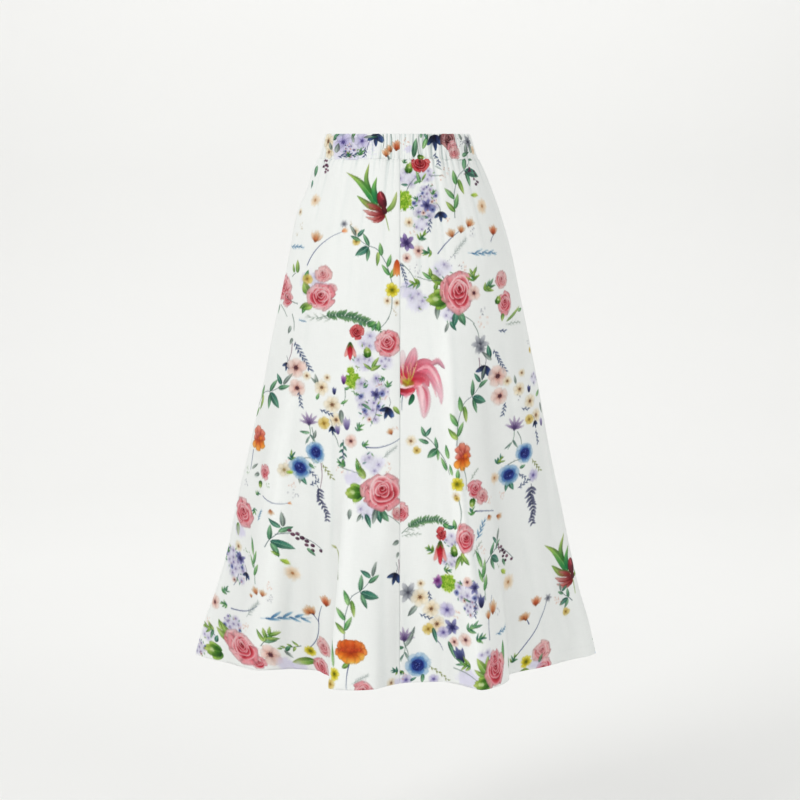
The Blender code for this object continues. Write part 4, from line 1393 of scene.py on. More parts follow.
def lily(cloth, x, y, s, a=0, v=0):
    """A large open lily: long petals that arch out of a red throat and turn down at their tips."""
    deep, mid, light, pale = (204, 50, 76), (236, 128, 150), (246, 188, 196), (250, 226, 228)

    def go(points, w, root, tip, **more):
        ribbon(cloth, [part(x, y, s, a, 1, *q) for q in points], w * s, root, tip, **more)

    go(((-3, -8), (-4, -20), (-2, -34)), 12, (226, 150, 162), (236, 214, 218), vein=0.10, edge=0.08, alpha=0.8, fade=0.3)
    go(((2, -6), (6, -20), (10, -36)), 12.0, (216, 82, 106), (250, 200, 210), vein=0.20, edge=0.16, base=0.45, round_=0.6)
    go(((-7, -4), (-8, -12), (-9, -22)), 11, deep, (238, 150, 160), vein=0.14, edge=0.12)
    go(((8, -10), (16, -20), (27, -22)), 9.0, (206, 66, 90), (244, 164, 180), vein=0.18, edge=0.2, base=0.5, round_=0.6)
    go(((25, -18), (33, -22), (41, -15)), 5.5, (226, 160, 172), (206, 158, 174), edge=0.10, half=0.15)
    go(((6, -3), (14, -12), (24, -14), (31, -4), (36, 10), (37, 21)), 11.5, (230, 104, 128), (252, 212, 222), vein=0.14, edge=0.14, base=0.42, round_=0.75)
    go(((6, -2), (13, -6), (20, -4), (24, 3)), 11.5, (204, 60, 84), (238, 140, 156), vein=0.18, edge=0.18, base=0.4, round_=0.8)
    go(((12, -13), (22, -17), (30, -9), (35, 4)), 3.6, light, pale, edge=0.0, alpha=0.85)
    go(((24, -6), (29, 4), (32, 14)), 2.0, (206, 96, 120), (230, 150, 166), edge=0.0, alpha=0.6)
    go(((6, 1), (15, 2), (19, 12), (20, 22), (19, 34)), 12.5, (244, 166, 180), (252, 220, 226), vein=0.16, edge=0.16, base=0.40, round_=0.55)
    go(((9, -1), (15, 1), (17, 10), (17, 24)), 4.6, (252, 226, 226), (250, 218, 222), edge=0.0, alpha=0.85)
    go(((17, 2), (21, 9), (22, 20), (20, 31)), 2.6, (200, 84, 104), (226, 140, 158), edge=0.05, alpha=0.7)
    go(((8, 1), (12, 5), (13, 12)), 1.6, (214, 110, 120), (236, 160, 170), edge=0.0, alpha=0.7)
    wash(cloth, *part(x, y, s, a, 1, 1, -5), 9 * s, 7 * s, (206, 40, 60), 0.55, 0.4)
    wash(cloth, *part(x, y, s, a, 1, 13, -3), 8 * s, 5 * s, (206, 40, 62), 0.5, 0.4)
    wash(cloth, *part(x, y, s, a, 1, 3, -1), 6.5 * s, 4.5 * s, (150, 120, 24), 0.8, 0.3)
    for tx, ty, b in ((-6, -14, -2), (-2, -19, -2), (2, -17, 1), (6, -20, 1), (9, -16, 2), (12, -21, 1), (-9, -10, -1)):
        e = part(x, y, s, a, 1, tx, ty)
        stroke(cloth, [part(x, y, s, a, 1, 3, 0), part(x, y, s, a, 1, 3 + (tx - 3) * 0.5 + b, ty * 0.5), e], 1.5, 0.9, (178, 170, 30), 0.92, (252, 228, 206))
        dab(cloth, *e, 0.9 * s, (232, 190, 150), 0.85, squash=0.5, angle=a + 60)
    go(((-9, 2), (0, 4), (10, 1)), 2.4, pale, light, edge=0.0, alpha=0.9)
    go(((-7, 6), (1, 8.5), (10, 5)), 7.5, (150, 12, 26), (220, 70, 90), edge=0.25, base=0.4, round_=0.4)
    go(((-6, 9), (2, 11), (9, 8)), 3.0, (240, 130, 160), (250, 200, 206), edge=0.1, alpha=0.85)
    go(((8, 10), (7, 15), (4, 21)), 5, (18, 92, 60), (60, 140, 92), edge=0.25, half=0.2)
    go(((-4, 10), (-8, 14), (-5, 19)), 5.5, (24, 100, 66), (70, 150, 100), edge=0.25, half=0.2)
    stroke(cloth, [part(x, y, s, a, 1, -2, 11), part(x, y, s, a, 1, -3, 18), part(x, y, s, a, 1, -3, 26)], 1.6, 0.8, (96, 112, 130), 0.85, (150, 160, 170))


def lily_bud(cloth, x, y, s, a=0, v=0):
    """Two closed dark-red buds, a half-open flower and long strap leaves."""
    def go(points, w, root, tip, **more):
        ribbon(cloth, [part(x, y, s, a, 1, *q) for q in points], w * s, root, tip, **more)

    stroke(cloth, [part(x, y, s, a, 1, *q) for q in ((-8, -12), (-2, -4), (1, 4), (4, 16))], 1.9, 1.1, (110, 140, 70), 0.9, (150, 176, 96))
    go(((-8, -9), (-17, -22), (-28, -33), (-41, -41)), 8.5, (40, 136, 70), (186, 214, 96), rib=(214, 232, 150), half=0.22, round_=1.1, base=0.45, edge=0.2)
    go(((-14, -20), (-19, -34), (-16, -50)), 5.0, (70, 140, 60), (196, 216, 120), half=0.2, round_=1.0, edge=0.2)
    go(((-8, -11), (-11, -24), (-8, -36)), 6.0, (30, 130, 84), (150, 206, 104), half=0.2, round_=1.0, edge=0.2)
    go(((-4, -6), (-15, -8), (-29, -18)), 7.0, (150, 120, 80), (150, 200, 90), half=0.2, round_=0.9, base=0.45, rib=(216, 220, 160), edge=0.2)
    go(((1, -2), (8, -9), (12, -22)), 5.0, (130, 170, 80), (206, 220, 150), half=0.15, round_=0.9, edge=0.15)
    for points, w, root, tip in (
        (((0, 0), (-11, 0), (-23, -4)), 7.5, (170, 40, 46), (244, 176, 168)),
        (((0, 1), (-10, 5), (-20, 3)), 6.5, (190, 60, 60), (244, 190, 180)),
        (((0, 2), (-7, 7), (-13, 8)), 6.0, (160, 30, 40), (232, 130, 120)),
        (((-2, -2), (-10, -7), (-19, -10)), 6.0, (150, 30, 34), (224, 110, 104)),
        (((0, 0), (-7, 0), (-13, 1)), 5.5, (130, 16, 28), (206, 70, 70)),
    ):
        go(points, w * 0.66, root, mix(tip, (252, 214, 204), np.float32(0.45)), vein=0.26, edge=0.30, round_=0.8, wave=0.10)
    for points in (((-4, 1), (-12, 2), (-19, 0)), ((-3, 3), (-9, 6), (-14, 6)), ((-4, -2), (-11, -4), (-17, -7))):
        go(points, 1.3, (96, 14, 22), (180, 60, 60), edge=0.0, alpha=0.7)
    go(((0, -6), (-3, -13), (-5, -22)), 9, (92, 12, 30), (170, 40, 56), half=0.25, round_=0.45, base=0.45, edge=0.3)
    go(((1, 0), (-1, -5), (-2, -9)), 5, (80, 18, 28), (126, 36, 46), round_=0.6, edge=0.3)
    go(((-1, -14), (-4, -18), (-5, -22)), 1.6, (214, 110, 120), (230, 150, 150), alpha=0.7, edge=0.0)


def small_flower(cloth, x, y, size, outer, inner, heart, petals=5, gap=0.84, alpha=0.9, ring=None, eye=0.19):
    """A small open flower: overlapping round petals, soft at their rims, and a dark middle."""
    g = cloth.rng
    start = g.uniform(0, 360)
    for k in g.permutation(petals):
        a = start + 360 * k / petals + g.uniform(-7, 7)
        petal(cloth, x, y, a, size * g.uniform(0.90, 1.08), size * gap * 5.8 / petals, mix(inner, outer, np.float32(0.25)), outer, round_=0.30, base=0.62, bend=g.uniform(-0.08, 0.08), edge=0.12, alpha=alpha, vein=0.10, wave=0.07, wet=0.7)
    wash(cloth, x, y, size * 0.42, size * 0.40, inner, 0.6, 0.5)
    for k in range(6):
        stroke(cloth, [polar(x, y, 60 * k + start, size * 0.1), polar(x, y, 60 * k + start + g.uniform(-8, 8), size * g.uniform(0.3, 0.46))], max(size * 0.05, 0.4), 0.3, heart, 0.45)
    dab(cloth, x, y, size * eye, heart, 0.85, soft=2)
    for k in range(8):
        dab(cloth, *polar(x, y, 45 * k + g.uniform(-15, 15), size * g.uniform(0.20, 0.34)), max(size * 0.035, 0.38), heart, 0.7)


def peach(cloth, x, y, size):
    small_flower(cloth, x, y, size * 1.08, (247, 226, 217), (222, 172, 158), (88, 46, 58), eye=0.22)


def cream(cloth, x, y, size):
    small_flower(cloth, x, y, size * 1.08, (250, 243, 224), (232, 206, 164), (120, 84, 62), petals=6)


def lilac_cluster(cloth, x, y, size, angle=0):
    """A loose heap of pale lilac florets over soft washes, with small blue ones, buds and green sprigs."""
    g = cloth.rng
    wash(cloth, x, y, size * 1.15, size * 1.0, (222, 219, 237), 0.50)
    wash(cloth, *polar(x, y, g.uniform(0, 360), size * 0.7), size * 0.6, size * 0.5, (206, 204, 228), 0.42)
    for k in range(12):
        a = 30 * k + g.uniform(-20, 20)
        leaf(cloth, *polar(x, y, a, size * g.uniform(0.45, 0.9)), a + g.uniform(-60, 60), size * g.uniform(0.28, 0.46), size * 0.13, int(g.integers(0, 4)), alpha=0.85)
    spots = [(g.uniform(-15, 15) + 72 * k, size * g.uniform(0.5, 0.9)) for k in range(5)] + [(g.uniform(0, 360), size * 0.12)]
    for a, r in spots:
        small_flower(cloth, *polar(x, y, a, r), size * g.uniform(0.32, 0.46), (236, 234, 245), (204, 200, 226), (124, 108, 150), eye=0.12)
    for k in range(4):
        px, py = polar(x, y, 90 * k + g.uniform(-30, 30), size * g.uniform(0.5, 1.0))
        (blue_small, peach, blue_small, single_lilac)[k](cloth, px, py, size * g.uniform(0.16, 0.24))
    for k in range(6):
        dab(cloth, *polar(x, y, g.uniform(0, 360), size * g.uniform(0.4, 1.1)), g.uniform(0.6, 1.1), (110, 90, 160) if k % 2 else (206, 120, 110), 0.8)


def pale_cluster(cloth, x, y, size, angle=0):
    """Lilac washes with barely drawn florets."""
    g = cloth.rng
    wash(cloth, x, y, size * 1.1, size * 0.9, (220, 217, 238), 0.55)
    for k in range(4):
        px, py = polar(x, y, 90 * k + g.uniform(-30, 30), size * g.uniform(0.35, 0.7))
        small_flower(cloth, px, py, size * g.uniform(0.34, 0.44), (236, 234, 245), (214, 210, 232), (140, 130, 174), alpha=0.75, eye=0.12)
    for k in range(3):
        leaf(cloth, *polar(x, y, g.uniform(0, 360), size * 0.8), g.uniform(0, 360), size * 0.35, size * 0.12, int(g.integers(0, 4)), alpha=0.7)


def hydrangea(cloth, x, y, size, angle=0):
    """A lime ball of tiny florets."""
    g = cloth.rng
    wash(cloth, x, y, size * 1.08, size * 1.08, (160, 200, 60), 0.75, 0.35)
    n = 34
    for k in range(n):
        r = size * np.sqrt((k + 0.5) / n) * 1.0
        px, py = polar(x, y, 137.5 * k, r)
        q = size * g.uniform(0.20, 0.27)
        tone = mix((120, 176, 30), (214, 234, 110), np.float32(g.random()))
        t0 = g.uniform(0, 90)
        for m in range(4):
            dab(cloth, *polar(px, py, 90 * m + t0, q * 0.5), q * 0.46, tone, 0.85)
        dab(cloth, px, py, q * 0.20, (70, 120, 20), 0.9)


def red_bloom(cloth, x, y, size, angle=-90):
    rose(cloth, x, y, size * 0.95, angle, ((128, 6, 22), (204, 30, 44), (244, 120, 116)))


def bell(cloth, x, y, size, angle=90):
    """A navy flower of three dark folded petals, pale inside."""
    bx, by = polar(x, y, angle, -size * 0.5)
    petal(cloth, bx, by, angle - 4, size * 0.9, size * 0.4, (120, 130, 176), (196, 200, 222), round_=0.5, base=0.6, edge=0.2, alpha=0.9)
    for da, l, w in ((-38, 1.0, 0.46), (34, 1.0, 0.44), (-8, 1.15, 0.40)):
        petal(cloth, bx, by, angle + da, size * l, size * w, (16, 22, 56), (58, 92, 150), round_=0.62, base=0.5, bend=da * 0.004, edge=0.25, alpha=0.95, vein=0.2, half=0.2)
    stroke(cloth, [(bx, by), polar(bx, by, angle + 165, size * 0.5), polar(bx, by, angle + 150, size * 1.0)], 0.9, 0.6, (100, 104, 112), 0.8)


def lavender(cloth, x, y, size, angle=90):
    """A drooping dark sprig: slate leaves in loose pairs along a thin stem."""
    g = cloth.rng
    n = max(6, int(size / 5.5))
    points = [(x, y)]
    for k in range(n):
        points.append(polar(*points[-1], angle + 16 * np.sin(k * 0.9), size / n))
    stroke(cloth, points, 1.0, 0.5, (84, 88, 112), 0.85)
    for k in range(1, n + 1):
        t = k / n
        for side in (-1, 1):
            petal(cloth, *points[k], angle + side * g.uniform(28, 64), size * 0.16 * (1.2 - 0.55 * t), size * 0.062 * (1.2 - 0.4 * t), (46, 50, 84), (112, 116, 148), round_=0.7, base=0.5, edge=0.2, alpha=0.87, wave=0.1, wet=0.8)


def tulip(cloth, x, y, size, angle=-90):
    """An open violet flower of thin pointed petals on a stem with two grey leaves."""
    bx, by = polar(x, y, angle, -size * 0.45)
    for da, l, w in ((-62, 0.95, 0.22), (60, 0.9, 0.22), (-33, 1.1, 0.26), (34, 1.1, 0.26), (-12, 1.15, 0.26), (12, 1.05, 0.24)):
        petal(cloth, bx, by, angle + da, size * l, size * w, (112, 84, 142), (206, 190, 218), round_=0.85, base=0.6, bend=da * 0.003, edge=0.22, alpha=0.88, vein=0.18, wave=0.08, wet=0.8)
    for da in (-30, 4, 34):
        stroke(cloth, [(bx, by), polar(bx, by, angle + da, size * 0.6)], 0.6, 0.3, (76, 52, 106), 0.6)
    dab(cloth, bx, by, size * 0.13, (84, 60, 112), 0.85, soft=2)
    stroke(cloth, [(bx, by), polar(bx, by, angle + 172, size * 0.8), polar(bx, by, angle + 186, size * 1.7)], 1.1, 0.7, (110, 140, 120), 0.85)
    leaf(cloth, *polar(bx, by, angle + 175, size * 0.9), angle + 140, size * 0.9, size * 0.22, ((90, 130, 120), (170, 196, 180)))
    leaf(cloth, *polar(bx, by, angle + 178, size * 1.1), angle + 215, size * 0.8, size * 0.2, ((90, 130, 120), (170, 196, 180)))


def yellow_flower(cloth, x, y, size, angle=0):
    g = cloth.rng
    for k in range(8):
        petal(cloth, x, y, 45 * k + g.uniform(-8, 8), size * g.uniform(0.9, 1.1), size * 0.62, (196, 176, 20), (242, 232, 96), round_=0.30, base=0.6, edge=0.22, alpha=0.94, wave=0.1)
    for k in range(5):
        petal(cloth, x, y, 72 * k + 20, size * 0.66, size * 0.42, (140, 136, 10), (224, 206, 40), round_=0.4, base=0.6, edge=0.25, alpha=0.9)
    dab(cloth, x, y, size * 0.22, (110, 120, 10), 0.9, soft=2)


def draw(cloth, kind, x, y, s, a, narrow, v, share, k):
    """One row of the chart: s is its size in mm, and k the mm of one unit of the little plans."""
    cloth.narrowed = (x, narrow)
    if kind == "leaf":
        leaf(cloth, x, y, a, s, s * share, v)
    elif kind == "stem":
        tone = ((92, 112, 104), (92, 112, 104), (112, 74, 96), (104, 110, 140))[v % 4]
        stroke(cloth, [(x, y), polar(x, y, a - 7, s * 0.5), polar(x, y, a, s)], 1.2, 0.7, tone, 0.8)
    elif kind == "navystem":
        pts, head = [(x, y)], a
        for q in range(8):
            pts.append(polar(*pts[-1], a + share * 57 * (q / 7 - 0.3), s / 8))
        stroke(cloth, pts, 1.4, 0.8, (60, 72, 122), 0.9, (110, 124, 146))
    elif kind == "twig":
        bud_twig(cloth, x, y, s, a, bend=abs(share), flip=1 if share > 0 else -1, branches=0)
    elif kind == "vine":
        vine(cloth, x, y, k * s, a, v)
    elif kind == "smallvine":
        small_vine(cloth, x, y, k * s, a, v)
    elif kind == "berryvine":
        berry_vine(cloth, x, y, k * s, a, v)
    elif kind == "lilybud":
        lily_bud(cloth, x, y, k * s, a)
    elif kind == "lily":
        lily(cloth, x, y, k * s, a)
    elif kind == "berries":
        berries(cloth, x, y, s, a)
    elif kind == "seed":
        seed_head(cloth, x, y, s)
    elif kind == "cream":
        cream(cloth, x, y, s)
    elif kind == "peach":
        peach(cloth, x, y, s)
    elif kind == "dots":
        dots(cloth, x, y, s, v)
    elif kind == "bud":
        small_bud(cloth, x, y, s, a)
    elif kind == "buddeep":
        small_bud(cloth, x, y, s, a, 1)
    elif kind == "greyflower":
        grey_flower(cloth, x, y, s, a)
    elif kind == "yellowbit":
        small_flower(cloth, x, y, s, (236, 214, 130), (206, 172, 80), (140, 110, 50), petals=4)
    elif kind == "yellow":
        yellow_flower(cloth, x, y, s)
    elif kind == "bluefeather":
        feather(cloth, x, y, s, a, n=7)
    elif kind == "greyfeather":
        grass(cloth, x, y, s, a, bend=0.1, tone=((132, 146, 142), (190, 198, 196)), n=12)
    elif kind == "grass":
        grass(cloth, x, y, s, a, bend=0.1, tone=((118, 136, 122), (184, 194, 180)) if v == 0 else ((70, 120, 76), (140, 176, 130)), n=7)
    elif kind == "rose":
        rose(cloth, x, y, s * 0.94, a, ROSE if v == 0 else MAROON)
    elif kind == "palerose":
        rose(cloth, x, y, s * 0.94, a, PALE_ROSE)
    elif kind == "palecluster":
        pale_cluster(cloth, x, y, s)
    elif kind == "lilacwash":
        wash(cloth, x, y, s, s * 0.8, (208, 202, 232), 0.5)
    elif kind == "limewash":
        wash(cloth, x, y, s * 0.6, s * 0.45, (196, 220, 90), 0.85, 0.4, a)
        leaf(cloth, *polar(x, y, a, -s * 0.8), a, s * 1.5, s * 0.6, ((150, 190, 50), (206, 224, 110)), alpha=0.8)
    elif kind == "navysprig":
        navy_sprig(cloth, x, y, s, a)
    elif kind == "bell":
        bell(cloth, x, y, s * 0.8, a)
        if v:
            petal(cloth, *polar(x, y, a, -s * 0.4), a - 58, s * 0.8, s * 0.34, (26, 34, 78), (84, 116, 172), edge=0.25)
    elif kind == "orangebud":
        for da in (-16, 16, 0):
            petal(cloth, *polar(x, y, a, -s), a + da, s * 2.1, s * 0.8, (206, 92, 40), (244, 166, 96), round_=0.6, base=0.5, edge=0.25)
    elif kind == "fern":
        fern(cloth, x, y, s, a, bend=share)
    elif kind == "red":
        red_bloom(cloth, x, y, s, a)
    elif kind == "redbud":
        for da, reach, root in ((-16, 1.75, (214, 84, 92)), (15, 1.7, (222, 96, 100)), (0, 1.9, (170, 14, 34)), (5, 1.25, (150, 8, 26))):
            petal(cloth, *polar(x, y, a, -s * 0.9), a + da, s * reach, s * 0.62, root, (246, 176, 168) if abs(da) > 9 else (226, 60, 76), round_=0.5, base=0.45, edge=0.25, bend=da / 90, wave=0.06, vein=0.1)
        for da in (-30, 28):
            petal(cloth, *polar(x, y, a, -s * 0.95), a + da, s * 0.75, s * 0.3, (56, 104, 50), (140, 176, 90), round_=0.8, base=0.4, edge=0.2)
    elif kind == "limeleaf":
        if v:
            for da in (-38, 38):
                petal(cloth, *polar(x, y, a, -s * 0.9), a + da, s * 1.35, s * 0.9, (70, 140, 40), (172, 206, 90), round_=0.6, base=0.45, edge=0.28, alpha=0.94)
        bud_leaf(cloth, x, y, s, a)
    elif kind == "hydrangea":
        hydrangea(cloth, x, y, s)
    elif kind == "violetspike":
        violet_spike(cloth, x, y, s, a, v)
    elif kind == "tulip":
        tulip(cloth, x, y, s * 1.25, a)
    elif kind == "lilac":
        lilac_cluster(cloth, x, y, s)
    elif kind == "lilacflower":
        single_lilac(cloth, x, y, s)
    elif kind == "star":
        star(cloth, x, y, s, a, v)
    elif kind == "leafbush":
        leaf_bush(cloth, x, y, s, a, v)
    elif kind == "greensprig":
        sprig(cloth, x, y, s, a, n=6, bend=0.2, tone=v % 4, size=s * 0.34)
    elif kind == "olivesprig":
        olive_sprig(cloth, x, y, s, a)
    elif kind == "peony":
        bloom(cloth, x, y, s * (1.0 if v == 1 else 0.92), a, v)
    elif kind == "blue":
        blue_rose(cloth, x, y, s * 1.08, a)
    elif kind == "beige":
        small_flower(cloth, x, y, s, (240, 232, 212), (222, 208, 176), (160, 136, 90), petals=6)
    elif kind == "lavender":
        lavender(cloth, x, y, s, a)
    elif kind == "blade":
        blade(cloth, x, y, s, a)
    elif kind == "grassvine":
        grass_vine(cloth, x, y, s, a)
    else:
        raise ValueError(kind)
    cloth.narrowed = (0.0, 1.0)


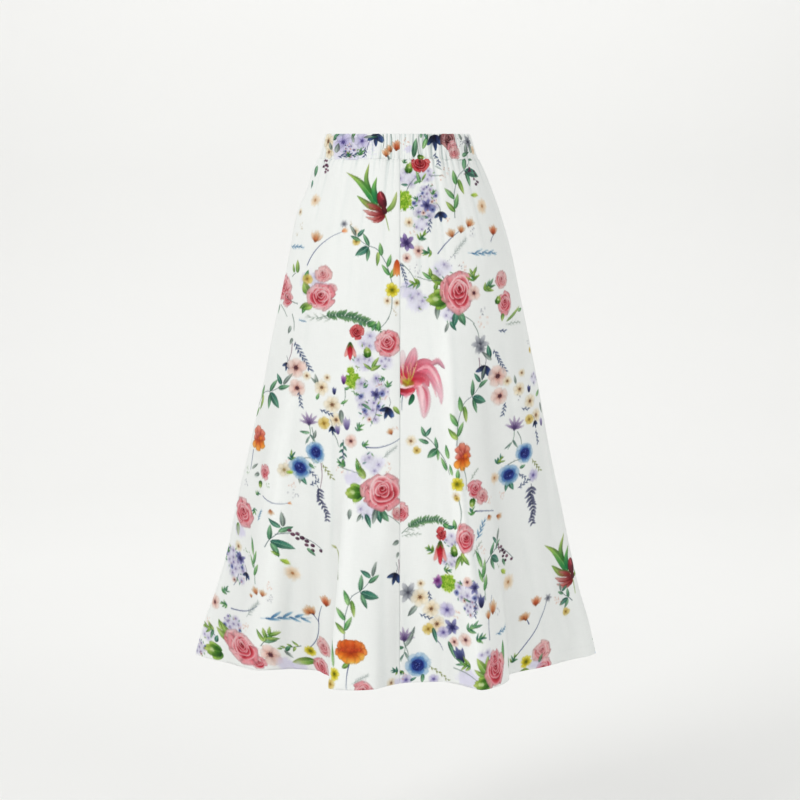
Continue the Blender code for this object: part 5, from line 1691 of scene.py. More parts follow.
# ---------------------------------------------------------------- the print's chart
# Each motif's place and size in mm on the flat cloth: kind, x from the middle line, y down from the band's
# top, size, angle in degrees, how wide it is for its height, variant, and one more number that some kinds take.
UNIT = 1.68  # mm in one unit of the motifs' own little plans
LEFT_PRINT = (
    ("berries", -147, 38, 26.9, 75, 1.45, 0, 1), ("leaf", -165, 55, 18.5, 108, 1.3, 0, 0.6), ("leaf", -176, 79, 13.4, 100, 1.16, 2, 0.5),
    ("seed", -159, 112, 11.8, 90, 1.16, 0, 1), ("cream", -204, 133, 5.9, 0, 1.45, 0, 1), ("dots", -193, 156, 5, 0, 1.45, 0, 1), ("dots", -210, 170, 4.2, 0, 1.45, 0, 1),
    ("lilybud", -25, 133, 1, 0, 1, 0, 1), ("twig", -170, 221, 77.3, -74, 1.45, 1, 0.75), ("bud", -153, 180, 18.5, -75, 1.37, 0, 1),
    ("greyflower", -96, 150, 6.7, 0, 1.09, 0, 1), ("dots", -85, 148, 4.2, 0, 1.06, 0, 1), ("cream", -76, 162, 6.7, 0, 1.04, 0, 1),
    ("yellowbit", -74, 179, 6.7, 0, 1.05, 0, 1), ("vine", -13, 247, 0.86, -12, 0.99, -1, 0), ("bluefeather", -235, 192, 31.9, -2, 1.74, 0, 1),
    ("leaf", -195, 235, 21.8, -95, 1.45, 3, 0.45), ("leaf", -205, 235, 15.1, -115, 1.45, 3, 0.4), ("stem", -211, 242, 10.1, -40, 1.45, 0, 1),
    ("rose", -243, 262, 21.8, 20, 1.45, 0, 1), ("rose", -222, 280, 13.4, 80, 1.45, 0, 1), ("palecluster", -157, 249, 23.5, 0, 1.32, 0, 1),
    ("leaf", -176, 248, 20.2, -70, 1.45, 1, 0.4), ("yellowbit", -169, 244, 8.4, 0, 1.39, 0, 1), ("palerose", -135, 235, 15.1, 0, 1.19, 0, 1),
    ("leaf", -165, 269, 21.8, -120, 1.32, 3, 0.75), ("leaf", -163, 285, 18.5, 150, 1.29, 3, 0.55), ("leaf", -169, 287, 16.8, 120, 1.33, 1, 0.5),
    ("leaf", -156, 289, 20.2, 165, 1.24, 3, 0.55), ("rose", -119, 261, 10.1, 30, 1.12, 0, 1), ("rose", -140, 273, 23.5, 0, 1.2, 0, 1),
    ("grass", -99, 305, 67.2, 175, 1.07, 0, 1), ("stem", -190, 287, 33.6, 205, 1.45, 0, 1), ("leaf", -254, 292, 16.8, 95, 1.16, 0, 0.4),
    ("stem", -246, 292, 26.9, 42, 1.45, 0, 1), ("stem", -202, 305, 26.9, 80, 1.45, 0, 1), ("leaf", -205, 325, 13.4, 100, 1.45, 4, 0.5),
    ("leaf", -199, 345, 11.8, 100, 1.45, 4, 0.5), ("bluefeather", -168, 316, 13.4, 190, 1.28, 0, 1), ("navysprig", -191, 351, 50.4, 62, 1.43, 0, 1),
    ("bell", -211, 393, 15.1, 110, 1.16, 0, 1), ("stem", -198, 354, 30.2, 100, 1.45, 2, 1), ("orangebud", -5, 222, 13.4, 90, 0.68, 0, 1),
    ("yellow", -13, 259, 11.8, 0, 1, 0, 1), ("cream", -21, 277, 6.7, 0, 0.99, 0, 1), ("cream", -5, 280, 5.9, 0, 0.97, 0, 1), ("stem", -13, 271, 37, 100, 0.99, 0, 1),
    ("stem", -18, 303, 23.5, 128, 0.99, 0, 1), ("dots", -8, 294, 6.7, 0, 1, 0, 1), ("fern", -147, 310, 110.9, -28, 1.23, 0, 1.42),
    ("leaf", -53, 319, 15.1, -20, 1.01, 1, 0.6), ("leaf", -35, 327, 16.8, -100, 1, 1, 0.55), ("leaf", -64, 327, 15.1, -110, 1.02, 2, 0.45),
    ("leaf", -47, 327, 15.1, -60, 1, 0, 0.4), ("palecluster", -50, 345, 20.2, 0, 1.01, 0, 1), ("palecluster", -62, 379, 18.5, 0, 1.02, 0, 1),
    ("palecluster", -26, 379, 15.1, 0, 1, 0, 1), ("leaf", -47, 389, 21.8, -65, 1, 3, 0.35), ("leaf", -50, 392, 20.2, -20, 1, 3, 0.4),
    ("leaf", -48, 391, 16.8, -150, 1.01, 3, 0.35), ("red", -72, 329, 12.6, 0, 1.03, 0, 1), ("redbud", -84, 361, 15.1, 90, 0.83, 0, 1),
    ("limeleaf", -55, 363, 10.1, -100, 1.01, 0, 1), ("rose", -21, 347, 21.8, 60, 0.99, 0, 1), ("dots", -5, 335, 6.7, 0, 0.68, 1, 1),
    ("dots", -3, 352, 6.7, 0, 0.58, 1, 1), ("hydrangea", -79, 411, 12.6, 0, 1.03, 0, 1), ("hydrangea", -83, 394, 5.9, 0, 1.04, 0, 1),
    ("dots", -69, 391, 5, 0, 1.02, 2, 1), ("violetspike", -95, 417, 15.1, -90, 0.83, 0, 1), ("stem", -93, 423, 30.2, 95, 1.04, 0, 1),
    ("leaf", -93, 426, 10.1, -30, 1.04, 1, 0.5), ("peach", -187, 394, 15.1, 0, 1.33, 0, 1), ("peach", -184, 428, 13.4, 0, 1.24, 0, 1),
    ("cream", -164, 406, 6.7, 0, 1.19, 0, 1), ("navysprig", -180, 434, 25.2, 82, 1.22, 0, 1), ("leaf", -144, 422, 20.2, -92, 1.15, 4, 0.35),
    ("leaf", -144, 419, 15.1, -130, 1.14, 4, 0.3), ("cream", -125, 407, 5.9, 0, 1.11, 0, 1), ("cream", -135, 424, 11.8, 0, 1.13, 0, 1),
    ("violetspike", -112, 435, 11.8, -90, 0.86, 1, 1), ("leaf", -145, 445, 11.8, -75, 1.17, 1, 0.5), ("cream", -116, 452, 13.4, 0, 1.1, 0, 1),
    ("leaf", -100, 450, 13.4, -30, 1.06, 1, 0.4), ("cream", -109, 477, 11.8, 0, 1.1, 0, 1), ("yellowbit", -132, 484, 10.1, 0, 1.15, 0, 1),
    ("navysprig", -139, 461, 21.8, 22, 1.16, 0, 1), ("leaf", -100, 460, 23.5, 88, 1.07, 4, 0.4), ("tulip", -161, 479, 15.1, -88, 1.16, 0, 1),
    ("lilac", -47, 428, 25.2, 0, 1.01, 0, 1), ("lilac", -48, 458, 20.2, 0, 1.01, 0, 1), ("star", -40, 433, 10.1, 0, 1, 0, 1), ("leafbush", -21, 421, 10.1, -70, 1, 0, 1),
    ("leafbush", -58, 422, 8.4, -100, 1.01, 1, 1), ("dots", -35, 415, 6.7, 0, 1, 1, 1), ("dots", -26, 438, 5, 0, 1, 1, 1), ("leaf", -64, 449, 18.5, 25, 1.02, 0, 0.3),
    ("stem", -38, 450, 37, 108, 1, 3, 1), ("leafbush", -26, 405, 8.4, 160, 1, 1, 1), ("greensprig", -67, 435, 13.4, 200, 1.02, 0, 1),
    ("bell", -23, 462, 21.8, 122, 0.99, 1, 1), ("leaf", -11, 453, 16.8, 48, 1, 3, 0.5), ("violetspike", -90, 493, 20.2, -92, 0.86, 2, 1),
    ("leafbush", -72, 494, 13.4, -60, 1.02, 0, 1), ("bell", -117, 495, 16.8, 95, 0.67, 0, 1), ("violetspike", -106, 501, 15.1, -95, 0.89, 2, 1),
    ("stem", -115, 499, 23.5, 70, 1.11, 0, 1), ("peach", -83, 511, 10.1, 0, 1.08, 0, 1), ("leafbush", -63, 518, 10.1, -20, 1.02, 1, 1),
    ("navystem", -57, 520, 60.5, -6, 1.01, 0, -0.75), ("bud", -14, 498, 11.8, -120, 0.96, 0, 1), ("dots", -7, 489, 5, 0, 1, 1, 1),
    ("greensprig", -97, 510, 33.6, 88, 1.11, 1, 1), ("navysprig", -98, 526, 23.5, 88, 0.8, 0, 1), ("greyfeather", -30, 539, 33.6, -40, 0.97, 0, 1),
    ("vine", -331, 504, 0.98, 18, 1.45, 1, 0), ("peony", -289, 523, 21, -90, 1.52, 0, 1), ("navystem", -307, 545, 33.6, 95, 1.45, 0, 0.1),
    ("leaf", -307, 576, 16.8, -40, 1.45, 4, 0.3), ("rose", -262, 576, 13.4, 10, 1.16, 0, 1), ("limeleaf", -279, 599, 6.7, 90, 1.45, 0, 1),
    ("leaf", -283, 582, 11.8, 160, 1.45, 4, 0.6), ("dots", -323, 581, 6.7, 0, 1.45, 2, 1), ("dots", -205, 592, 6.7, 0, 1.1, 1, 1),
    ("dots", -205, 609, 8.4, 0, 1.12, 3, 1), ("dots", -328, 604, 6.7, 0, 1.45, 3, 1), ("leafbush", -294, 618, 8.4, -30, 1.45, 1, 1),
    ("dots", -253, 598, 5, 0, 1.45, 2, 1), ("twig", -270, 617, 38.6, 42, 1.45, 0, -0.9), ("bud", -252, 638, 10.1, 90, 1.41, 0, 1),
    ("rose", -338, 654, 23.5, 0, 1.3, 0, 1), ("leaf", -359, 674, 21.8, 100, 1.45, 3, 0.5), ("lilacwash", -353, 686, 15.1, 0, 1.45, 0, 1),
    ("leafbush", -302, 642, 10.1, 90, 1.45, 1, 1), ("bluefeather", -292, 661, 23.5, -62, 1.45, 0, 1), ("blue", -151, 534, 16.8, 0, 1.01, 0, 1),
    ("leaf", -153, 511, 15.1, -75, 1.2, 4, 0.4), ("leaf", -161, 502, 16.8, 178, 1.17, 0, 0.35), ("stem", -156, 493, 26.9, 90, 1.17, 0, 1),
    ("leafbush", -201, 551, 13.4, -70, 1.1, 2, 1), ("beige", -215, 568, 11.8, 0, 1.04, 0, 1), ("dots", -205, 556, 5, 0, 1.05, 1, 1),
    ("stem", -182, 548, 15.1, -12, 1.18, 0, 1), ("leaf", -187, 573, 20.2, 70, 1.17, 2, 0.5), ("leaf", -186, 572, 18.5, 100, 1.17, 4, 0.4),
    ("blue", -185, 563, 17.6, 0, 1.15, 0, 1), ("limewash", -205, 572, 8.4, 0, 1.07, 0, 1), ("navysprig", -168, 566, 15.1, 45, 1.16, 0, 1),
    ("navysprig", -170, 591, 18.5, -28, 1.18, 0, 1), ("leaf", -167, 555, 11.8, 40, 1.16, 0, 0.5), ("dots", -155, 553, 6.7, 0, 1.22, 2, 1),
    ("stem", -142, 552, 43.7, 98, 1.21, 2, 1), ("olivesprig", -140, 552, 26.9, 60, 1.23, 0, 1), ("lavender", -155, 591, 57.1, 78, 1.23, 0, 1),
    ("leafbush", -95, 553, 13.4, -150, 1.19, 0, 1), ("leaf", -65, 562, 25.2, -110, 1.01, 3, 0.3), ("leaf", -59, 572, 28.6, -122, 1, 3, 0.5),
    ("leaf", -70, 558, 15.1, -100, 1.02, 1, 0.4), ("dots", -104, 560, 6.7, 0, 1.23, 1, 1), ("stem", -101, 557, 33.6, 18, 1.23, 0, 1),
    ("palecluster", -47, 546, 20.2, 0, 0.98, 0, 1), ("palecluster", -54, 620, 20.2, 0, 1, 0, 1), ("lilacwash", -81, 572, 16.8, 0, 1.16, 0, 1),
    ("leaf", -85, 623, 16.8, 100, 1, 4, 0.5), ("limeleaf", -79, 596, 16.8, 172, 1, 1, 1), ("leaf", -38, 620, 25.2, 82, 1, 2, 0.5),
    ("leaf", -33, 623, 23.5, 62, 1, 0, 0.55), ("leaf", -40, 620, 26.9, 105, 1, 4, 0.4), ("leaf", -59, 630, 23.5, 62, 1, 2, 0.4),
    ("leaf", -66, 630, 15.1, 120, 1, 4, 0.4), ("stem", -33, 627, 40.3, 33, 1, 0, 1), ("dots", -21, 553, 8.4, 0, 1.01, 1, 1), ("rose", -44, 592, 23.5, 0, 1, 0, 1),
    ("rose", -28, 594, 31.9, 0, 1, 0, 1), ("palerose", -5, 631, 11.8, 0, 0.8, 0, 1), ("berryvine", -261, 694, 1, 0, 1.4, 1, 1),
    ("limewash", -247, 727, 11.8, 25, 1.05, 0, 1), ("leaf", -254, 715, 15.1, 205, 1.01, 3, 0.5), ("seed", -242, 747, 14.3, 90, 1.1, 0, 1),
    ("blade", -111, 739, 55.4, -108, 1, 0, 1), ("leaf", -122, 726, 20.2, -100, 0.8, 3, 0.25), ("grassvine", -322, 769, 77.3, -86, 1.3, 0, 1),
    ("lilac", -387, 734, 20.2, 0, 1.3, 0, 1), ("lilac", -377, 755, 20.2, 0, 1.3, 0, 1), ("star", -361, 734, 10.1, 0, 1.45, 0, 1),
    ("cream", -364, 714, 8.4, 0, 1.3, 0, 1), ("dots", -339, 720, 6.7, 0, 1.45, 2, 1), ("bell", -350, 761, 15.1, 110, 1.16, 1, 1),
    ("leafbush", -402, 730, 8.4, -90, 1.45, 1, 1), ("stem", -372, 761, 23.5, 120, 1.45, 3, 1), ("leafbush", -425, 797, 13.4, -30, 1.45, 0, 1),
    ("peach", -449, 818, 10.9, 0, 1.3, 0, 1), ("leafbush", -413, 818, 11.8, 190, 1.45, 1, 1), ("navystem", -403, 821, 57.1, -8, 1.45, 0, -0.75),
    ("bud", -322, 785, 13.4, -110, 1.45, 0, 1), ("bud", -308, 786, 11.8, -70, 1.35, 0, 1), ("dots", -290, 768, 6.7, 0, 1.05, 1, 1),
    ("bud", -339, 793, 6.7, -95, 1.45, 0, 1), ("greyfeather", -362, 828, 43.7, -48, 1.45, 0, 1), ("dots", -295, 790, 6.7, 0, 1, 3, 1),
    ("bluefeather", -323, 824, 67.2, -1, 1.34, 0, 1), ("buddeep", -184, 794, 18.5, -85, 1.45, 0, 1), ("bud", -226, 815, 16.8, -110, 1.45, 0, 1),
    ("bud", -232, 814, 11.8, -165, 1.25, 0, 1), ("navystem", -218, 827, 33.6, -66, 1.45, 0, 0.2), ("navystem", -228, 815, 16.8, 55, 1.27, 0, 0.2),
    ("navystem", -216, 822, 70.6, 112, 1.45, 0, 0.75), ("greensprig", -270, 873, 33.6, 165, 1.09, 2, 1), ("leaf", -301, 883, 15.1, -40, 0.99, 0, 0.5),
    ("leaf", -303, 882, 16.8, 60, 0.99, 4, 0.4), ("leafbush", -332, 865, 26.9, -45, 1.16, 3, 1), ("stem", -340, 872, 16.8, -35, 1.05, 0, 1),
    ("lilac", -404, 848, 15.1, 0, 1.45, 0, 1), ("dots", -365, 845, 8.4, 0, 1.45, 1, 1), ("lilac", -507, 900, 13.4, 0, 1.45, 0, 1),
    ("palecluster", -477, 873, 15.1, 0, 1.45, 0, 1), ("leafbush", -457, 864, 21.8, -170, 1.45, 3, 1), ("leaf", -415, 874, 33.6, -112, 1.45, 3, 0.4),
    ("leaf", -420, 877, 26.9, -140, 1.45, 3, 0.5), ("leaf", -435, 860, 16.8, -100, 1.45, 3, 0.4), ("dots", -470, 851, 6.7, 0, 1.45, 1, 1),
    ("limeleaf", -470, 899, 16, 176, 1.59, 1, 1), ("leaf", -457, 883, 13.4, -60, 1.45, 2, 0.6), ("rose", -357, 901, 11.8, 40, 1.3, 0, 1),
    ("rose", -406, 874, 19.3, 0, 1.45, 0, 1), ("rose", -388, 882, 25.2, 0, 1.48, 0, 1), ("peach", -330, 888, 16.8, 0, 1.02, 0, 1),
    ("lilacwash", -312, 905, 16.8, 0, 1.03, 0, 1), ("yellow", -257, 881, 9.2, 0, 1.15, 0, 1), ("leaf", -255, 898, 30.2, 176, 1.45, 3, 0.5),
    ("palerose", -217, 868, 16, 0, 1.3, 0, 1), ("rose", -237, 906, 16.8, 0, 1.45, 0, 1), ("lilacwash", -287, 909, 15.1, 0, 1.09, 0, 1),
    ("vine", -102, 834, 1, 0, 1, 1, 0), ("leaf", -124, 879, 55.4, -92, 1, 1, 0.13), ("leaf", -108, 879, 18.5, -30, 1, 3, 0.5), ("yellow", -123, 890, 10.9, 0, 0.8, 0, 1),
    ("yellowbit", -132, 907, 8.4, 110, 1, 0, 1), ("navystem", -96, 873, 40.3, 104, 1, 0, -0.3), ("peony", -92, 853, 25.2, -90, 1, 1, 1),
    ("greyfeather", -94, 905, 33.6, -28, 1, 0, 1), ("rose", -75, 918, 17.6, 0, 1, 0, 1), ("bell", -11, 737, 21.8, 120, 1, 1, 1), ("stem", -2, 707, 23.5, 92, 0.8, 2, 1),
    ("leaf", -2, 676, 15.1, 150, 0.8, 4, 0.6), ("leaf", -2, 695, 10.1, 120, 0.8, 4, 0.6), ("leafbush", -4, 895, 11.8, -150, 1, 2, 1),
    ("cream", -18, 911, 8.4, 0, 1, 0, 1), ("lilacwash", -4, 911, 10.1, 0, 1, 0, 1),
)
RIGHT_PRINT = (
    ("palecluster", 13, 73, 20.2, 0, 0.99, 0, 1), ("palecluster", 43, 71, 15.1, 0, 1.03, 0, 1), ("leafbush", 6, 49, 8.4, -60, 0.97, 1, 1),
    ("limeleaf", 15, 57, 10.1, -80, 1, 0, 1), ("red", 33, 49, 15.1, 30, 1.02, 1, 1), ("leaf", 33, 82, 20.2, -100, 1.01, 1, 0.35),
    ("leaf", 37, 77, 13.4, -60, 1.01, 3, 0.3), ("leaf", 23, 83, 15.1, -30, 1, 1, 0.3), ("stem", 10, 97, 26.9, -58, 0.99, 0, 1),
    ("hydrangea", 5, 110, 15.1, 0, 0.98, 0, 1), ("leaf", 13, 85, 11.8, 180, 0.99, 2, 0.4), ("dots", 3, 123, 6.7, 0, 0.96, 2, 1), ("stem", 52, 71, 20.2, 0, 1.04, 0, 1),
    ("dots", 72, 72, 5, 0, 1.08, 1, 1), ("leaf", 59, 54, 13.4, 25, 1.06, 5, 0.25), ("navysprig", 65, 43, 10.1, 90, 1.09, 0, 1), ("dots", 79, 60, 6.7, 0, 1.11, 1, 1),
    ("vine", 94, 140, 0.98, -6, 1.06, 1, 2), ("berries", 124, 53, 33.6, 62, 1.3, 0, 1), ("stem", 115, 68, 15.1, -20, 1.3, 2, 1),
    ("leaf", 98, 32, 16.8, 40, 1.28, 0, 0.5), ("limewash", 136, 103, 8.4, 0, 1.4, 0, 1), ("seed", 151, 122, 15.1, 90, 0.8, 0, 1),
    ("lilac", 40, 120, 21.8, 0, 1.01, 0, 1), ("lilac", 47, 100, 15.1, 0, 1.02, 0, 1), ("star", 45, 119, 10.9, 0, 1.02, 0, 1),
    ("leafbush", 54, 101, 8.4, -60, 1.03, 1, 1), ("leafbush", 30, 110, 8.4, -140, 1, 1, 1), ("leafbush", 23, 123, 6.7, 180, 1, 1, 1),
    ("leaf", 48, 139, 20.2, 184, 1.01, 0, 0.25), ("palecluster", 36, 150, 13.4, 0, 1.01, 0, 1), ("dots", 57, 113, 5, 0, 1.04, 1, 1),
    ("navysprig", 52, 140, 23.5, 100, 1.02, 0, 1), ("bell", 68, 137, 18.5, 95, 0.94, 1, 1), ("dots", 80, 142, 5, 0, 1.06, 1, 1), ("cream", 15, 147, 7.6, 0, 1, 0, 1),
    ("dots", 20, 162, 6.7, 0, 0.99, 1, 1), ("leafbush", 33, 176, 15.1, -50, 1, 3, 1), ("peach", 31, 194, 9.2, 0, 1, 0, 1), ("peach", 11, 206, 7.6, 0, 1, 0, 1),
    ("leafbush", 53, 198, 15.1, 190, 1.02, 3, 1), ("navystem", 64, 199, 57.1, -48, 1.03, 0, 0.35), ("bud", 89, 171, 15.1, -110, 1.08, 0, 1),
    ("bud", 105, 164, 13.4, -80, 1.12, 0, 1), ("bud", 119, 154, 15.1, -60, 1.18, 0, 1), ("dots", 128, 164, 6.7, 0, 1.2, 3, 1), ("star", 11, 181, 16.8, 0, 0.88, 1, 1),
    ("leaf", 1, 173, 16.8, 200, 0.76, 2, 0.4), ("leaf", 1, 186, 15.1, 180, 0.76, 3, 0.5), ("greyfeather", 88, 205, 40.3, -52, 1.06, 0, 1),
    ("dots", 88, 210, 8.4, 0, 1.06, 3, 1), ("buddeep", 174, 169, 16.8, -80, 1.3, 0, 1), ("stem", 167, 181, 13.4, -60, 1.45, 3, 1),
    ("bluefeather", 118, 199, 43.7, 2, 1.43, 0, 1), ("navysprig", 1, 213, 40.3, 70, 0.78, 1, 1), ("stem", 3, 215, 40.3, 52, 0.98, 0, 1),
    ("stem", 1, 254, 20.2, 6, 0.96, 0, 1), ("palecluster", 72, 223, 16.8, 0, 1.03, 0, 1), ("palecluster", 30, 277, 20.2, 0, 1, 0, 1),
    ("palecluster", 84, 299, 15.1, 0, 1.03, 0, 1), ("lilacwash", 16, 259, 20.2, 0, 0.99, 0, 1), ("dots", 23, 226, 13.4, 0, 1, 3, 1),
    ("leaf", 70, 250, 30.2, -135, 1.03, 3, 0.4), ("leaf", 74, 248, 23.5, -165, 1.03, 3, 0.55), ("leaf", 53, 241, 20.2, -150, 1.02, 1, 0.35),
    ("leafbush", 33, 247, 16.8, 175, 1.01, 3, 1), ("leaf", 52, 237, 15.1, -95, 1.01, 3, 0.45), ("stem", 69, 244, 40.3, 190, 1.03, 0, 1),
    ("leaf", 64, 285, 23.5, 100, 1.01, 4, 0.45), ("limeleaf", 62, 275, 19.3, 174, 1.01, 1, 1), ("leaf", 59, 259, 13.4, -80, 1.06, 3, 0.6),
    ("leaf", 101, 296, 25.2, 72, 1.1, 0, 0.55), ("leaf", 95, 296, 26.9, 96, 1.08, 2, 0.45), ("leaf", 84, 312, 18.5, 60, 1.07, 2, 0.4),
    ("leaf", 81, 314, 16.8, 110, 1, 4, 0.35), ("stem", 102, 301, 30.2, 32, 1.11, 0, 1), ("stem", 128, 317, 30.2, 68, 1.22, 0, 1), ("dots", 106, 223, 8.4, 0, 1.1, 1, 1),
    ("dots", 104, 220, 5, 0, 1.1, 3, 1), ("rose", 86, 260, 23.5, 0, 0.79, 0, 1), ("rose", 101, 264, 35.3, 0, 0.79, 0, 1), ("peach", 129, 266, 11.8, 0, 1.02, 0, 1),
    ("leafbush", 127, 246, 18.5, -85, 1.18, 3, 1), ("leafbush", 150, 262, 18.5, -30, 1.26, 3, 1), ("palerose", 189, 247, 15.1, 0, 1.01, 1, 1),
    ("rose", 198, 286, 20.2, 90, 0.87, 0, 1), ("limeleaf", 181, 280, 8.4, -70, 1.12, 0, 1), ("leaf", 193, 303, 13.4, 100, 1.45, 3, 0.5),
    ("leaf", 202, 317, 37, -38, 1.45, 3, 0.14), ("leaf", 235, 302, 13.4, -20, 1.45, 1, 0.5), ("grass", 200, 322, 30.2, -5, 1.45, 0, 1),
    ("navysprig", 183, 331, 11.8, 10, 1.35, 0, 1), ("dots", 148, 314, 10.1, 0, 1.24, 1, 1), ("dots", 150, 299, 8.4, 0, 1.24, 3, 1),
    ("greyflower", 143, 352, 16.8, 0, 1.14, 0, 1), ("greyflower", 145, 360, 10.1, 0, 1.17, 1, 1), ("leaf", 165, 377, 23.5, -100, 1.27, 2, 0.4),
    ("leaf", 168, 380, 21.8, -135, 1.29, 4, 0.35), ("bell", 151, 398, 25.2, 112, 1.17, 2, 1), ("stem", 141, 375, 20.2, 90, 1.34, 2, 1),
    ("navysprig", 173, 363, 43.7, 60, 1.3, 0, 1), ("peach", 184, 408, 16.8, 0, 1.25, 0, 1), ("peach", 191, 442, 14.3, 0, 1.25, 0, 1),
    ("navysprig", 205, 454, 21.8, 100, 1.35, 0, 1), ("lily", 8, 415, 1, 0, 1, 0, 1), ("vine", 98, 517, 1, -2, 1.05, 1, 2), ("cream", 207, 418, 7.6, 0, 1.39, 0, 1),
    ("cream", 243, 407, 6.7, 0, 1.3, 0, 1), ("cream", 237, 434, 10.9, 0, 1.3, 0, 1), ("leaf", 227, 424, 15.1, -100, 1.45, 4, 0.3),
    ("violetspike", 264, 442, 11.8, -90, 1.16, 1, 1), ("cream", 267, 457, 11.8, 0, 1.23, 0, 1), ("leaf", 288, 451, 15.1, -50, 1.45, 1, 0.45),
    ("cream", 287, 483, 10.9, 0, 1.16, 0, 1), ("yellowbit", 266, 488, 8.4, 0, 1.45, 0, 1), ("navysprig", 244, 467, 13.4, 15, 1.45, 0, 1),
    ("dots", 233, 447, 5, 0, 1.45, 3, 1), ("tulip", 231, 492, 16, -80, 1.29, 0, 1), ("leaf", 304, 463, 20.2, 80, 1.16, 4, 0.4),
    ("violetspike", 305, 503, 13.4, -92, 1.01, 2, 1), ("bell", 284, 498, 15.1, 80, 0.87, 0, 1), ("navysprig", 288, 508, 23.5, 75, 1.16, 0, 1),
    ("palecluster", 283, 420, 11.8, 0, 1.16, 0, 1), ("dots", 268, 356, 5, 0, 1.01, 3, 1), ("yellowbit", 274, 371, 5, 0, 1.01, 0, 1),
    ("stem", 42, 502, 28.6, 47, 1, 0, 1), ("stem", 63, 524, 47, 62, 1.05, 0, 1), ("leaf", 43, 503, 18.5, -121, 1.01, 0, 0.42),
    ("leaf", 43, 502, 16.8, -53, 1.01, 2, 0.42), ("leaf", 48, 514, 18.5, 202, 1.01, 0, 0.42), ("leaf", 63, 524, 21.8, 141, 1.06, 0, 0.6),
    ("leaf", 63, 524, 20.2, -105, 1.06, 0, 0.34), ("leaf", 63, 525, 18.5, 80, 1.05, 1, 0.3), ("leaf", 84, 539, 23.5, -105, 1.14, 1, 0.36),
    ("leaf", 80, 559, 23.5, -112, 1.13, 1, 0.3), ("leaf", 92, 566, 18.5, -108, 1.19, 1, 0.32), ("cream", 18, 510, 8.4, 0, 1, 0, 1),
    ("yellowbit", 28, 526, 6.7, 0, 1, 0, 1), ("peony", 110, 535, 22.7, -90, 0.9, 2, 1), ("stem", 112, 553, 37, 82, 1.11, 0, 1),
    ("leaf", 102, 572, 16.8, -95, 1.06, 1, 0.4), ("yellow", 101, 580, 11.8, 0, 0.99, 0, 1), ("cream", 99, 600, 6.7, 0, 1.19, 0, 1),
    ("yellowbit", 101, 604, 5, 0, 1.18, 0, 1), ("grass", 126, 575, 23.5, -58, 1.25, 0, 1), ("rose", 137, 590, 15.1, 0, 1.14, 0, 1),
    ("palerose", 154, 604, 12.6, 0, 1.16, 0, 1), ("limeleaf", 131, 612, 8.4, 90, 1.15, 0, 1), ("stem", 105, 606, 43.7, 86, 1.12, 0, 1),
    ("dots", 173, 613, 8.4, 0, 1.45, 1, 1), ("rose", 1, 628, 16.8, 90, 0.81, 0, 1), ("blue", 258, 544, 16, 0, 1.3, 0, 1), ("leafbush", 196, 556, 13.4, -60, 1.45, 2, 1),
    ("olivesprig", 278, 556, 26.9, 52, 1.45, 0, 1), ("stem", 219, 560, 23.5, -18, 1.36, 0, 1), ("leaf", 247, 568, 10.1, -20, 1.43, 0, 0.6),
    ("leaf", 224, 587, 18.5, 62, 1.34, 2, 0.5), ("leaf", 222, 586, 18.5, 102, 1.35, 2, 0.4), ("blue", 223, 577, 16, 0, 1.37, 0, 1),
    ("lilacflower", 283, 584, 10.1, 0, 1.3, 0, 1), ("navysprig", 246, 577, 15.1, 40, 1.41, 0, 1), ("navysprig", 246, 601, 21.8, -32, 1.37, 0, 1),
    ("stem", 237, 506, 23.5, 70, 1.45, 0, 1), ("lavender", 278, 598, 67.2, 82, 1.45, 0, 1), ("seed", 191, 579, 10.1, 100, 1.16, 0, 1),
    ("dots", 211, 609, 8.4, 0, 0.84, 1, 1), ("leafbush", 131, 632, 11.8, -90, 1.25, 1, 1), ("navystem", 137, 626, 40.3, 8, 1.32, 0, 0.1),
    ("bud", 202, 643, 10.1, 20, 1.45, 0, 1), ("bud", 170, 637, 10.1, 70, 1.45, 0, 1), ("fern", 3, 664, 97.4, -52, 1.01, 0, 1.55),
    ("grass", 3, 663, 40.3, -22, 1.01, 0, 1), ("grass", 3, 668, 33.6, -8, 1.01, 0, 1), ("leaf", 73, 649, 15.1, 30, 1.09, 1, 0.6),
    ("leaf", 97, 656, 16.8, -90, 1.23, 1, 0.55), ("leaf", 81, 655, 15.1, -10, 1.11, 2, 0.5), ("palecluster", 89, 674, 15.1, 0, 1.18, 0, 1),
    ("palecluster", 87, 708, 15.1, 0, 1.18, 0, 1), ("leaf", 114, 691, 23.5, 95, 1.13, 3, 0.35), ("leaf", 112, 695, 20.2, 60, 1.22, 3, 0.4),
    ("leaf", 110, 698, 26.9, 120, 1.22, 3, 0.3), ("leafbush", 56, 696, 13.4, -140, 1.03, 3, 1), ("red", 70, 666, 11.8, 0, 0.77, 0, 1),
    ("redbud", 68, 697, 20.2, 90, 0.7, 0, 1), ("limeleaf", 95, 692, 10.9, -100, 1.08, 0, 1), ("rose", 113, 655, 11.8, 0, 0.88, 0, 1),
    ("rose", 119, 671, 23.5, 60, 0.79, 0, 1), ("hydrangea", 83, 747, 14.3, 0, 1, 0, 1), ("leafbush", 75, 725, 11.8, 0, 1.13, 3, 1),
    ("violetspike", 66, 757, 18.5, -96, 1.06, 2, 1), ("star", 64, 744, 10.1, 0, 1.06, 2, 1), ("dots", 87, 720, 6.7, 0, 1.15, 2, 1),
    ("bluefeather", 140, 673, 37, -66, 1.31, 0, 1), ("grassvine", 162, 772, 87.4, -98, 1.16, 0, 1), ("grass", 134, 698, 26.9, -60, 1.2, 0, 1),
    ("dots", 154, 691, 8.4, 0, 0.87, 1, 1), ("berryvine", 178, 707, 0.85, 6, 1.3, 1, 1), ("limewash", 229, 738, 10.1, 30, 1.45, 0, 1),
